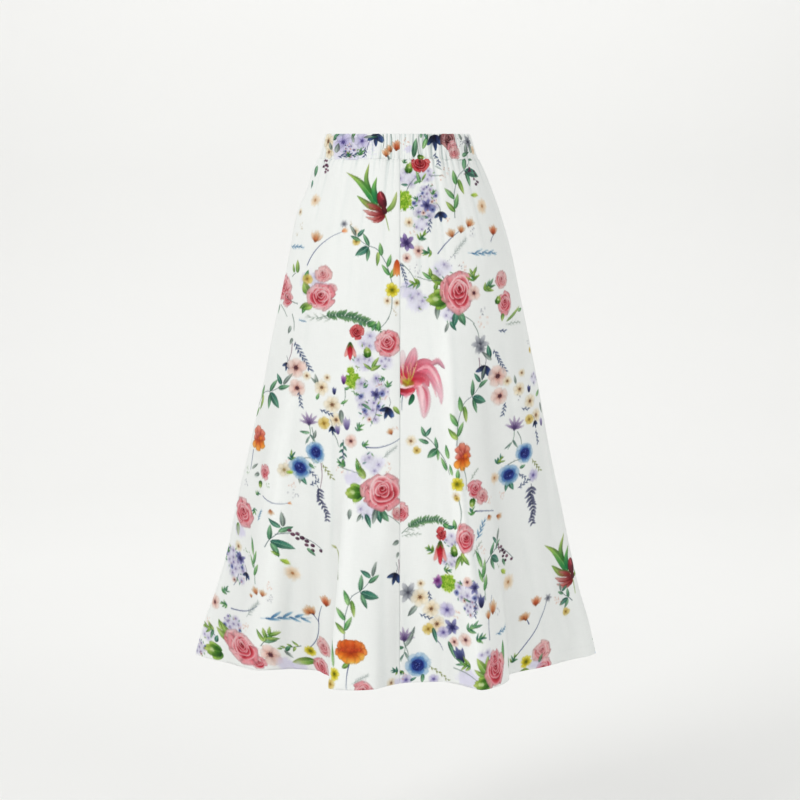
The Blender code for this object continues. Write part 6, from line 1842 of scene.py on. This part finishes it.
    ("seed", 245, 758, 14.3, 90, 1.01, 0, 1), ("dots", 207, 725, 5, 0, 1.45, 2, 1), ("lilac", 123, 760, 21.8, 0, 1.07, 0, 1), ("lilac", 130, 782, 13.4, 0, 1.03, 0, 1),
    ("star", 137, 749, 11.8, 0, 0.96, 0, 1), ("peach", 123, 740, 7.6, 0, 1.15, 0, 1), ("leafbush", 112, 744, 6.7, 180, 1.3, 2, 1),
    ("violetspike", 152, 783, 20.2, -88, 1.07, 1, 1), ("leaf", 130, 772, 15.1, 190, 1.09, 0, 0.25), ("navysprig", 140, 769, 26.9, 92, 0.79, 0, 1),
    ("greyflower", 14, 763, 18.5, 0, 1.01, 2, 1), ("leaf", 29, 785, 23.5, 132, 1, 4, 0.42), ("cream", 34, 771, 14.3, 0, 1, 0, 1), ("cream", 35, 748, 6.7, 0, 1, 0, 1),
    ("navysprig", 49, 761, 15.1, 80, 1, 0, 1), ("cream", 53, 791, 13.4, 0, 0.96, 0, 1), ("cream", 63, 817, 13.4, 0, 0.99, 0, 1),
    ("yellowbit", 48, 825, 9.2, 0, 1.02, 0, 1), ("navysprig", 34, 799, 20.2, 25, 1.01, 0, 1), ("lilacflower", 81, 792, 13.4, 0, 1.11, 0, 1),
    ("star", 92, 820, 15.1, 0, 1.09, 0, 1), ("lilacflower", 74, 831, 10.1, 0, 1.14, 0, 1), ("dots", 102, 799, 6.7, 0, 1.28, 1, 1),
    ("leafbush", 124, 820, 20.2, -30, 1.21, 0, 1), ("peach", 120, 837, 10.1, 0, 1.33, 0, 1), ("peach", 96, 844, 8.4, 0, 1.09, 0, 1),
    ("leafbush", 144, 835, 15.1, -20, 1.16, 1, 1), ("leaf", 56, 823, 26.9, 75, 1.01, 2, 0.3), ("stem", 63, 844, 20.2, 60, 1.03, 3, 1),
    ("tulip", 9, 834, 16.8, -85, 0.94, 1, 1), ("leaf", 10, 854, 37, -58, 1.03, 4, 0.22), ("leaf", 7, 855, 20.2, 180, 1.05, 0, 0.35),
    ("stem", 7, 847, 33.6, 74, 1.04, 0, 1), ("leaf", 84, 845, 30.2, 66, 1.18, 0, 0.28), ("violetspike", 114, 878, 26.9, -110, 1.17, 1, 1),
    ("blue", 31, 886, 19.3, 0, 1.01, 1, 1), ("leafbush", 7, 896, 10.1, 170, 1.07, 2, 1), ("olivesprig", 50, 887, 40.3, 36, 1.01, 0, 1),
    ("leaf", 40, 901, 15.1, 100, 1, 0, 0.5), ("lilacflower", 58, 910, 8.4, 0, 1.01, 0, 1), ("lilacflower", 11, 910, 10.1, 0, 1.06, 0, 1),
    ("leaf", 18, 912, 11.8, -30, 1.04, 2, 0.4), ("dots", 7, 903, 6.7, 0, 1.09, 1, 1), ("palecluster", 165, 862, 13.4, 0, 1.36, 0, 1),
    ("lilacwash", 127, 900, 23.5, 0, 1.26, 0, 1), ("stem", 95, 888, 57.1, 20, 1.25, 0, 1), ("leafbush", 132, 880, 21.8, 190, 1.24, 3, 1),
    ("leaf", 165, 890, 30.2, -118, 1.31, 3, 0.42), ("leaf", 168, 887, 25.2, -98, 1.37, 3, 0.4), ("leaf", 163, 893, 20.2, -160, 1.23, 3, 0.45),
    ("limeleaf", 157, 907, 15.1, 165, 1.18, 1, 1), ("leaf", 211, 881, 37, -94, 1.45, 1, 0.22), ("rose", 188, 887, 28.6, 90, 0.9, 0, 1),
    ("rose", 185, 867, 13.4, -90, 0.87, 0, 1), ("stem", 172, 837, 70.6, -86, 1.16, 3, 1), ("bud", 180, 795, 23.5, -84, 0.87, 0, 1),
    ("bud", 169, 802, 15.1, -95, 0.87, 0, 1), ("dots", 192, 796, 6.7, 0, 1.45, 3, 1), ("navystem", 284, 888, 100.8, -60, 1.45, 0, -0.42),
    ("navystem", 305, 836, 16.8, -118, 1.32, 0, 0), ("buddeep", 317, 806, 16.8, -88, 1.38, 0, 1), ("bud", 297, 828, 15.1, -100, 1.28, 0, 1),
    ("bud", 293, 826, 11.8, -150, 1.28, 0, 1), ("leafbush", 276, 896, 13.4, -60, 1.45, 3, 1), ("leaf", 262, 902, 20.2, -88, 1.45, 1, 0.3),
    ("bluefeather", 188, 831, 37, -8, 1.38, 0, 1), ("palerose", 342, 887, 18.5, 0, 1.22, 1, 1), ("rose", 352, 918, 20.2, 0, 1, 0, 1),
    ("leaf", 339, 905, 15.1, -80, 1.39, 0, 0.4), ("yellow", 310, 900, 10.1, 0, 1.22, 0, 1), ("leaf", 320, 917, 25.2, 178, 1, 3, 0.6),
    ("lilacwash", 331, 907, 11.8, 0, 1.33, 0, 1), ("lilybud", 414, 776, 0.96, 2, 1.38, 1, 1), ("smallvine", 435, 853, 0.62, -6, 1.3, -1, 4),
    ("yellowbit", 399, 830, 6.7, 0, 1.45, 0, 1), ("greyflower", 347, 799, 7.6, 0, 1.45, 0, 1), ("dots", 370, 806, 8.4, 0, 1.45, 1, 1),
    ("dots", 384, 810, 5, 0, 1.45, 1, 1),
)
BAND_LEFT_PRINT = (
    ("lilacwash", -92, 21, 37, 0, 1.33, 0, 1), ("cream", -143, 13, 14.3, 0, 1.16, 0, 1), ("cream", -136, 31, 10.1, 0, 1.16, 0, 1),
    ("leaf", -127, 11, 16.8, -50, 1.45, 0, 0.5), ("leaf", -117, 4, 13.4, -20, 1.45, 2, 0.4), ("lilacflower", -102, 14, 16, 0, 1.26, 0, 1),
    ("leaf", -117, 32, 16.8, -80, 1.43, 4, 0.6), ("leaf", -130, 27, 15.1, -110, 1.45, 4, 0.4), ("lilac", -87, 29, 11.8, 0, 1.17, 0, 1),
    ("leaf", -84, 7, 15.1, -60, 1.17, 1, 0.4), ("leaf", -80, 15, 15.1, -100, 1.15, 4, 0.4), ("lilacflower", -65, 12, 13.4, 0, 1.04, 0, 1),
    ("dots", -87, 26, 8.4, 0, 1.17, 1, 1), ("navysprig", -112, 38, 26.9, -6, 1.35, 0, 1), ("grass", -79, 39, 23.5, -50, 1.12, 1, 1),
    ("leafbush", -70, 36, 11.8, -60, 1.09, 0, 1), ("leafbush", -89, 39, 8.4, -100, 1.16, 2, 1), ("bell", -42, 9, 23.5, 100, 0.98, 1, 1),
    ("leaf", -54, 5, 16.8, 8, 1.06, 2, 0.3), ("leaf", -47, 4, 15.1, 170, 1.04, 4, 0.35), ("stem", -33, 4, 16.8, 200, 1.02, 0, 1),
    ("stem", -56, 27, 20.2, -70, 1.06, 3, 1), ("navysprig", -58, 23, 15.1, 98, 1.06, 0, 1), ("stem", -28, 2, 23.5, 92, 1.01, 0, 1), ("stem", -15, 1, 20.2, 90, 1, 0, 1),
    ("bud", -23, 37, 15.1, -88, 1.01, 0, 1), ("buddeep", -6, 27, 18.5, -80, 0.89, 0, 1), ("bud", -15, 29, 13.4, -120, 1, 0, 1), ("stem", -21, 36, 8.4, 80, 1.01, 3, 1),
    ("leaf", -21, 36, 10.1, 60, 1.01, 4, 0.4),
)
BAND_RIGHT_PRINT = (
    ("lilacwash", 15, 25, 10.1, 0, 0.8, 0, 1), ("dots", 8, 14, 8.4, 0, 0.98, 1, 1), ("leaf", 23, 39, 31.9, -88, 1.01, 0, 0.32),
    ("leaf", 39, 25, 26.9, -72, 1.03, 1, 0.28), ("leaf", 35, 7, 15.1, -80, 1.02, 0, 0.35), ("leaf", 47, 10, 13.4, -120, 1.05, 2, 0.35),
    ("stem", 32, 41, 40.3, -90, 1.02, 0, 1), ("limeleaf", 35, 39, 6.7, 0, 1.02, 0, 1), ("bell", 58, 14, 28.6, 92, 0.79, 1, 1), ("bell", 71, 9, 18.5, 80, 0.69, 0, 1),
    ("rose", 87, 9, 16, 0, 0.95, 1, 1), ("rose", 95, 23, 11.8, 0, 0.97, 0, 1), ("palerose", 98, 32, 11.8, 0, 1.03, 0, 1), ("leaf", 114, 38, 15.1, -30, 1.44, 0, 0.5),
    ("dots", 112, 14, 8.4, 0, 1.45, 3, 1), ("greyflower", 136, 14, 13.4, 0, 1.3, 1, 1), ("seed", 152, 28, 10.1, 90, 1.16, 0, 1),
    ("leaf", 125, 34, 18.5, -80, 1.45, 4, 0.45), ("leaf", 141, 33, 16.8, -95, 1.45, 4, 0.45), ("leaf", 117, 11, 15.1, -100, 1.45, 4, 0.3),
    ("navysprig", 61, 32, 16.8, 90, 1.08, 0, 1),
)

# Groups of the chart that come again on cloth the chart leaves bare: which side, its rows, and its middle.
GROUPS = (
    ("R", (38, 40, 41, 49, 50, 53, 57, 58, 59, 61, 62, 63, 64, 65, 66, 67, 68, 69, 70, 71, 72, 73, 74, 75, 76, 77, 78, 79, 80, 81, 82, 83, 84, 86, 87, 91, 92, 93), 87, 260),
    ("R", (104,), 8, 415),
    ("R", (105, 125, 126, 127, 128, 129, 130, 131, 132, 133, 138), 63, 524),
    ("R", (121, 151, 152, 153, 154, 155, 156, 157, 158, 159, 160, 161, 162, 163, 164, 165), 242, 577),
    ("R", (96, 97, 101, 102, 103, 106, 107, 108, 109, 110, 111, 112, 113, 114, 115, 116, 118, 122), 240, 442),
    ("R", (0, 1, 5, 6, 7, 8, 9, 10, 11, 12, 13, 23, 24, 25, 26, 27, 28, 29, 30, 31, 32, 33, 34, 35), 38, 110),
    ("R", (173, 174, 175, 176, 177, 178, 179, 180, 181, 182, 183, 184, 185, 186, 187, 188, 189, 190, 191, 192, 194, 195, 202, 203, 204, 211, 212), 89, 697),
    ("R", (187, 189, 190, 204, 208, 209, 210, 211, 212, 213, 214, 215, 216, 217, 218, 219, 220, 222, 225, 226, 227, 231), 63, 796),
    ("R", (40, 41, 42, 43, 44, 45, 49, 50, 53, 78), 96, 198),
    ("R", (192, 194, 195, 196, 197, 198, 199), 178, 707),
    ("R", (105, 126, 130, 131, 132, 133, 134, 135, 138, 139, 140, 141, 142, 143, 144, 145, 146), 99, 559),
    ("L", (7, 10, 11), -85, 148),
    ("L", (8, 16, 17, 18, 20, 21, 22, 23, 24, 25, 26, 27, 28, 29, 30, 31, 32, 35, 38, 49), -168, 271),
    ("L", (114, 154, 155, 156, 157, 158, 159, 160, 161, 162, 163, 164, 165, 166, 167, 168, 169, 170, 171, 172, 173, 174), -56, 593),
    ("L", (104, 106, 123, 135, 136, 137, 139, 140, 141, 142, 143, 144, 145, 146, 147, 148, 149, 150, 151, 152, 153), -168, 555),
    ("L", (179, 180, 201, 204, 206, 233, 242, 243), -116, 766),
    ("L", (134, 175, 176, 177, 178, 186, 187), -261, 720),
    ("L", (31, 47, 48, 50, 51, 52, 53, 54, 55, 56, 57, 58, 59, 60, 61, 62, 63, 64, 65, 66, 67, 68, 69, 78, 94, 98), -50, 362),
    ("L", (66, 67, 69, 70, 71, 72, 73, 74, 75, 76, 77, 78, 79, 80, 81, 82, 83, 84, 85, 86, 87, 88, 102, 103, 104, 106, 137, 138), -121, 440),
    ("L", (82, 84, 85, 86, 88, 104, 105, 106, 135, 136, 137, 138, 139, 142), -145, 497),
    ("L", (4, 5, 8, 9, 10, 11, 12, 13, 16), -153, 162),
    ("L", (194, 195, 197, 198, 199, 200, 210, 213), -328, 808),
    ("L", (66, 69, 70, 71, 89, 90, 91, 92, 93, 94, 95, 96, 97, 98, 99, 100, 101), -47, 428),
)
# Where they come again: group, x, y.
LEFT_SPOTS = ()
RIGHT_SPOTS = (
    (19, 510, 885),
)
BACK_SPOTS = (
    (11, 35, 625), (15, -150, 200), (15, 40, 755), (13, 185, 510), (12, -205, 850), (11, -460, 790), (1, -265, 385), (17, -335, 485), (3, -275, 225), (7, 75, 295),
    (7, -225, 710), (18, -180, 565), (7, 195, 700), (4, 80, 450), (1, 330, 555), (12, 375, 705), (17, 180, 115), (18, -45, 365), (0, -15, 880), (6, 395, 880),
    (15, -365, 630), (11, -155, 80), (1, 230, 205), (15, 220, 840), (6, -420, 840), (4, 320, 440), (13, -70, 655), (17, -25, 520), (15, 275, 345), (4, 0, 85),
    (18, -215, 85), (17, 280, 915), (20, 265, 320), (22, -105, 760), (3, 250, 595), (20, 380, 785), (19, -50, 250), (8, -310, 905), (22, 70, 170), (3, 495, 895),
    (9, -180, 480), (16, 150, 355), (22, -325, 735), (14, -405, 635), (5, -155, 315), (20, 50, 630), (9, 100, 550), (9, 160, 240), (8, 120, 840), (2, -360, 385),
    (9, -525, 890), (20, 145, 45), (20, -200, 910), (20, 130, 915),
)


# ---------------------------------------------------------------- materials
def node(tree, kind, place, **values):
    made = tree.nodes.new(kind)
    made.location = place
    for key, value in values.items():
        setattr(made, key, value)
    return made


def cloth_material(name, weave, sheen):
    """Matt printed cotton: the print from the mesh's points, which carries painted shade in the hollows and painted
    light on fold crests, a fine plain weave, thread slubs and a soft bloom.
    """
    made = bpy.data.materials.new(name)
    made.use_nodes = True
    tree = made.node_tree
    link = tree.links.new
    shader = tree.nodes["Principled BSDF"]
    shader.inputs["Metallic"].default_value = 0.0
    shader.inputs["Specular IOR Level"].default_value = 0.22
    shader.inputs["Sheen Weight"].default_value = sheen
    shader.inputs["Sheen Roughness"].default_value = 0.45
    shader.inputs["Sheen Tint"].default_value = (0.94, 0.97, 1.0, 1.0)
    # the print with its painted shade and light, from the mesh's points
    print_and_shade = node(tree, "ShaderNodeAttribute", (-1100, 200), attribute_name="print")
    flat = node(tree, "ShaderNodeAttribute", (-1500, -200), attribute_name="cloth_xy")
    # uneven dye: slow and fast patches, a few percent each
    slow = node(tree, "ShaderNodeTexNoise", (-1100, -50))
    slow.inputs["Scale"].default_value = 14.0
    slow.inputs["Detail"].default_value = 3.0
    link(flat.outputs["Vector"], slow.inputs["Vector"])
    range_slow = node(tree, "ShaderNodeMapRange", (-900, -50))
    range_slow.inputs["From Min"].default_value = 0.3
    range_slow.inputs["From Max"].default_value = 0.7
    range_slow.inputs["To Min"].default_value = 0.972
    range_slow.inputs["To Max"].default_value = 1.0
    link(slow.outputs["Fac"], range_slow.inputs["Value"])
    # slubs: threads a little thicker here and there, both ways
    slub = []
    for k, stretch in enumerate(((1400.0, 60.0, 1.0), (60.0, 1400.0, 1.0))):
        grow = node(tree, "ShaderNodeVectorMath", (-1300, -300 - 200 * k), operation="MULTIPLY")
        grow.inputs[1].default_value = stretch
        link(flat.outputs["Vector"], grow.inputs[0])
        noise = node(tree, "ShaderNodeTexNoise", (-1100, -300 - 200 * k))
        noise.inputs["Scale"].default_value = 1.0
        noise.inputs["Detail"].default_value = 1.0
        link(grow.outputs["Vector"], noise.inputs["Vector"])
        slub.append(noise)
    both = node(tree, "ShaderNodeMath", (-900, -350), operation="ADD")
    link(slub[0].outputs["Fac"], both.inputs[0])
    link(slub[1].outputs["Fac"], both.inputs[1])
    range_slub = node(tree, "ShaderNodeMapRange", (-700, -350))
    range_slub.inputs["From Min"].default_value = 0.7
    range_slub.inputs["From Max"].default_value = 1.3
    range_slub.inputs["To Min"].default_value = 0.965
    range_slub.inputs["To Max"].default_value = 1.0
    link(both.outputs["Value"], range_slub.inputs["Value"])
    tone = node(tree, "ShaderNodeMath", (-500, -150), operation="MULTIPLY")
    link(range_slow.outputs["Result"], tone.inputs[0])
    link(range_slub.outputs["Result"], tone.inputs[1])
    colour = node(tree, "ShaderNodeVectorMath", (-300, 150), operation="SCALE")
    link(print_and_shade.outputs["Color"], colour.inputs[0])
    link(tone.outputs["Value"], colour.inputs["Scale"])
    link(colour.outputs["Vector"], shader.inputs["Base Color"])
    # the plain weave: crossing threads, as fine relief
    waves = []
    for k, axis in enumerate(("X", "Y")):
        wave = node(tree, "ShaderNodeTexWave", (-1100, -750 - 250 * k), wave_type="BANDS", bands_direction=axis, wave_profile="SIN")
        wave.inputs["Scale"].default_value = weave
        wave.inputs["Distortion"].default_value = 0.6
        wave.inputs["Detail"].default_value = 1.0
        wave.inputs["Detail Scale"].default_value = 0.3
        link(flat.outputs["Vector"], wave.inputs["Vector"])
        waves.append(wave)
    woven = node(tree, "ShaderNodeMath", (-800, -800), operation="MULTIPLY")
    link(waves[0].outputs["Fac"], woven.inputs[0])
    link(waves[1].outputs["Fac"], woven.inputs[1])
    height = node(tree, "ShaderNodeMath", (-600, -700), operation="ADD")
    link(woven.outputs["Value"], height.inputs[0])
    link(both.outputs["Value"], height.inputs[1])
    bump = node(tree, "ShaderNodeBump", (-400, -600))
    bump.inputs["Strength"].default_value = 0.22
    bump.inputs["Distance"].default_value = 0.00025
    link(height.outputs["Value"], bump.inputs["Height"])
    link(bump.outputs["Normal"], shader.inputs["Normal"])
    rough = node(tree, "ShaderNodeMapRange", (-300, -300))
    rough.inputs["From Min"].default_value = 0.3
    rough.inputs["From Max"].default_value = 0.7
    rough.inputs["To Min"].default_value = 0.74
    rough.inputs["To Max"].default_value = 0.86
    link(slow.outputs["Fac"], rough.inputs["Value"])
    link(rough.outputs["Result"], shader.inputs["Roughness"])
    return made


# ---------------------------------------------------------------- the pieces
def paint_rows(cloth, rows, dx=0.0, dy=0.0, plain=False):
    for kind, x, y, size, angle, narrow, variant, share in rows:
        draw(cloth, kind, x + dx, y + dy, size, angle, 1.0 if plain else narrow, variant, share, UNIT)


def paint_groups(cloth, spots):
    """Whole groups of the chart again, each moved to a stretch of cloth that it leaves bare."""
    for group, x, y in spots:
        side, members, ax, ay = GROUPS[group]
        rows = LEFT_PRINT if side == "L" else RIGHT_PRINT
        paint_rows(cloth, [rows[i] for i in members], x - ax, y - ay, True)


def panel_edge(wall, mid):
    """The longest triangle side allowed at each place of a panel."""
    s, v = mid[:, 0], mid[:, 1]
    below = v - BAND_HEIGHT
    most = np.interp(below, (0.0, 0.012, 0.035, 0.09, 0.16), (0.0017, 0.0021, 0.0030, 0.0050, 0.0075))
    side = np.minimum(s, 1 - s) * wall.across(v)
    most = np.minimum(most, np.interp(side, (0.0, 0.003, 0.012), (0.0024, 0.0030, 0.0080)))
    rise = wall.bottom - v
    most = np.where(np.abs(rise - 0.0195) < 0.0015, np.minimum(most, 0.0024), most)
    most = np.where(rise < 0.0015, np.minimum(most, 0.0024), most)
    return most


def band_edge(wall, mid):
    s, v = mid[:, 0], mid[:, 1]
    rim = np.minimum(v - wall.top, wall.bottom - v)
    return np.interp(rim, (0.0, 0.0014, 0.0026), (0.0011, 0.0014, 0.0019))


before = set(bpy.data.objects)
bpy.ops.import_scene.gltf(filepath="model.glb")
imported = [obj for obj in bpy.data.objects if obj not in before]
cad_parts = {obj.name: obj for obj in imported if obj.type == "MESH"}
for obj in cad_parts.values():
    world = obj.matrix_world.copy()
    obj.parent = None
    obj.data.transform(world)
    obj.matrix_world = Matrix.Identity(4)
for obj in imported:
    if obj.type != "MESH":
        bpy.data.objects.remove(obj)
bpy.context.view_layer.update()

camera_data = bpy.data.cameras.new("view")
camera_data.sensor_width = 36.0
camera_data.lens = 90.79
camera = bpy.data.objects.new("view", camera_data)
bpy.context.scene.collection.objects.link(camera)
camera.location = CAMERA_AT
camera.rotation_euler = (Vector(CAMERA_TO) - Vector(CAMERA_AT)).to_track_quat("-Z", "Y").to_euler()
bpy.context.scene.camera = camera

panel_cloth = cloth_material("printed_cloth", 520.0, 0.10)
band_cloth = cloth_material("printed_band", 520.0, 0.08)

clock = time.time()
left = Cloth(-560, 4, 0, 920, 11)
paint_rows(left, LEFT_PRINT)
paint_groups(left, LEFT_SPOTS)
right = Cloth(-4, 560, 0, 920, 12)
paint_rows(right, RIGHT_PRINT)
paint_groups(right, RIGHT_SPOTS)
behind = Cloth(-560, 560, 0, 920, 15)
paint_groups(behind, BACK_SPOTS)
band_left = Cloth(-190, 4, -2, 50, 13)
paint_rows(band_left, BAND_LEFT_PRINT)
band_right = Cloth(-4, 190, -2, 50, 14)
paint_rows(band_right, BAND_RIGHT_PRINT)
band_behind = Cloth(-190, 190, -2, 50, 16)
paint_rows(band_behind, BAND_LEFT_PRINT, 20.0)
paint_rows(band_behind, BAND_RIGHT_PRINT, 10.0)
paint_rows(band_behind, BAND_RIGHT_PRINT, -190.0)
paint_rows(band_behind, BAND_LEFT_PRINT, 190.0)
print(f"painted in {time.time() - clock:.1f} s")

pieces = []
for name, first, last, middle, cloth, budget in (
    ("front_left", 90.0, 180.0, 90.0, left, 170000),
    ("front_right", 0.0, 90.0, 90.0, right, 170000),
    ("back", 180.0, 360.0, 270.0, behind, 150000),
):
    clock = time.time()
    wall = Wall(first, last, middle, BAND_HEIGHT - 0.0012, LENGTH)
    wall.name = name
    columns = 56 if name != "back" else 104
    piece, surface = build_piece(name + "_cloth", wall, cloth, CLOTH_THICK, panel_form, columns, 92, panel_edge, budget, panel_cloth)
    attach(piece, "root")
    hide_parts(name)
    pieces.append(piece)
    print(f"{name} in {time.time() - clock:.1f} s")
for name, first, last, middle, cloth in (
    ("waistband_front_left", 90.0, 180.0, 90.0, band_left),
    ("waistband_front_right", 0.0, 90.0, 90.0, band_right),
    ("waistband_back", 180.0, 360.0, 270.0, band_behind),
):
    wall = Wall(first, last, middle, 0.0, BAND_HEIGHT, 0.0015)
    wall.name = name
    columns = 60 if name != "waistband_back" else 120
    piece, surface = build_piece(name + "_cloth", wall, cloth, BAND_THICK, band_form, columns, 16, band_edge, 80000 if name != "waistband_back" else 110000, band_cloth)
    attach(piece, "root")
    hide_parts(name)
    pieces.append(piece)

# ---------------------------------------------------------------- floor, backdrop and light
def stage_material(name, colour):
    made = bpy.data.materials.new(name)
    made.use_nodes = True
    tree = made.node_tree
    shader = tree.nodes["Principled BSDF"]
    shader.inputs["Roughness"].default_value = 0.92
    shader.inputs["Specular IOR Level"].default_value = 0.1
    noise = node(tree, "ShaderNodeTexNoise", (-600, 0))
    noise.inputs["Scale"].default_value = 6.0
    noise.inputs["Detail"].default_value = 4.0
    ramp = node(tree, "ShaderNodeValToRGB", (-400, 0))
    ramp.color_ramp.elements[0].position = 0.35
    ramp.color_ramp.elements[0].color = (*[c * 0.985 for c in colour], 1)
    ramp.color_ramp.elements[1].position = 0.65
    ramp.color_ramp.elements[1].color = (*colour, 1)
    tree.links.new(noise.outputs["Fac"], ramp.inputs["Fac"])
    tree.links.new(ramp.outputs["Color"], shader.inputs["Base Color"])
    return made


# a seamless sweep: floor, a round rise behind, and a wall
profile = [(-7.0, FLOOR), (WALL - 1.2, FLOOR)]
for k in range(1, 13):
    a = math.pi / 2 * k / 12
    profile.append((WALL - 1.2 + 1.2 * math.sin(a), FLOOR + 1.2 - 1.2 * math.cos(a)))
profile.append((WALL, FLOOR + 6.5))
sweep_mesh = bpy.data.meshes.new("sweep")
verts = [(x, y, z) for y, z in profile for x in (-8.0, 8.0)]
faces = [(2 * k, 2 * k + 1, 2 * k + 3, 2 * k + 2) for k in range(len(profile) - 1)]
sweep_mesh.from_pydata(verts, [], faces)
sweep_mesh.shade_smooth()
sweep = bpy.data.objects.new("sweep", sweep_mesh)
bpy.context.scene.collection.objects.link(sweep)
sweep_mesh.materials.append(stage_material("sweep", SWEEP_COLOUR))


def area_light(name, at, to, size, power, colour=(1.0, 1.0, 1.0)):
    data = bpy.data.lights.new(name, "AREA")
    data.shape = "RECTANGLE"
    data.size, data.size_y = size
    data.energy = power
    data.color = colour
    made = bpy.data.objects.new(name, data)
    bpy.context.scene.collection.objects.link(made)
    made.location = at
    made.rotation_euler = (Vector(to) - Vector(at)).to_track_quat("-Z", "Y").to_euler()
    made.visible_camera = False
    return made


for row in LIGHTS:
    area_light(*row)
world = bpy.data.worlds.new("room")
bpy.context.scene.world = world
world.use_nodes = True
world.node_tree.nodes["Background"].inputs["Color"].default_value = (*ROOM_COLOUR, 1.0)
world.node_tree.nodes["Background"].inputs["Strength"].default_value = ROOM_LIGHT
bpy.context.scene.view_settings.view_transform = "Standard"
bpy.context.scene.view_settings.exposure = 0.0

bpy.context.view_layer.update()
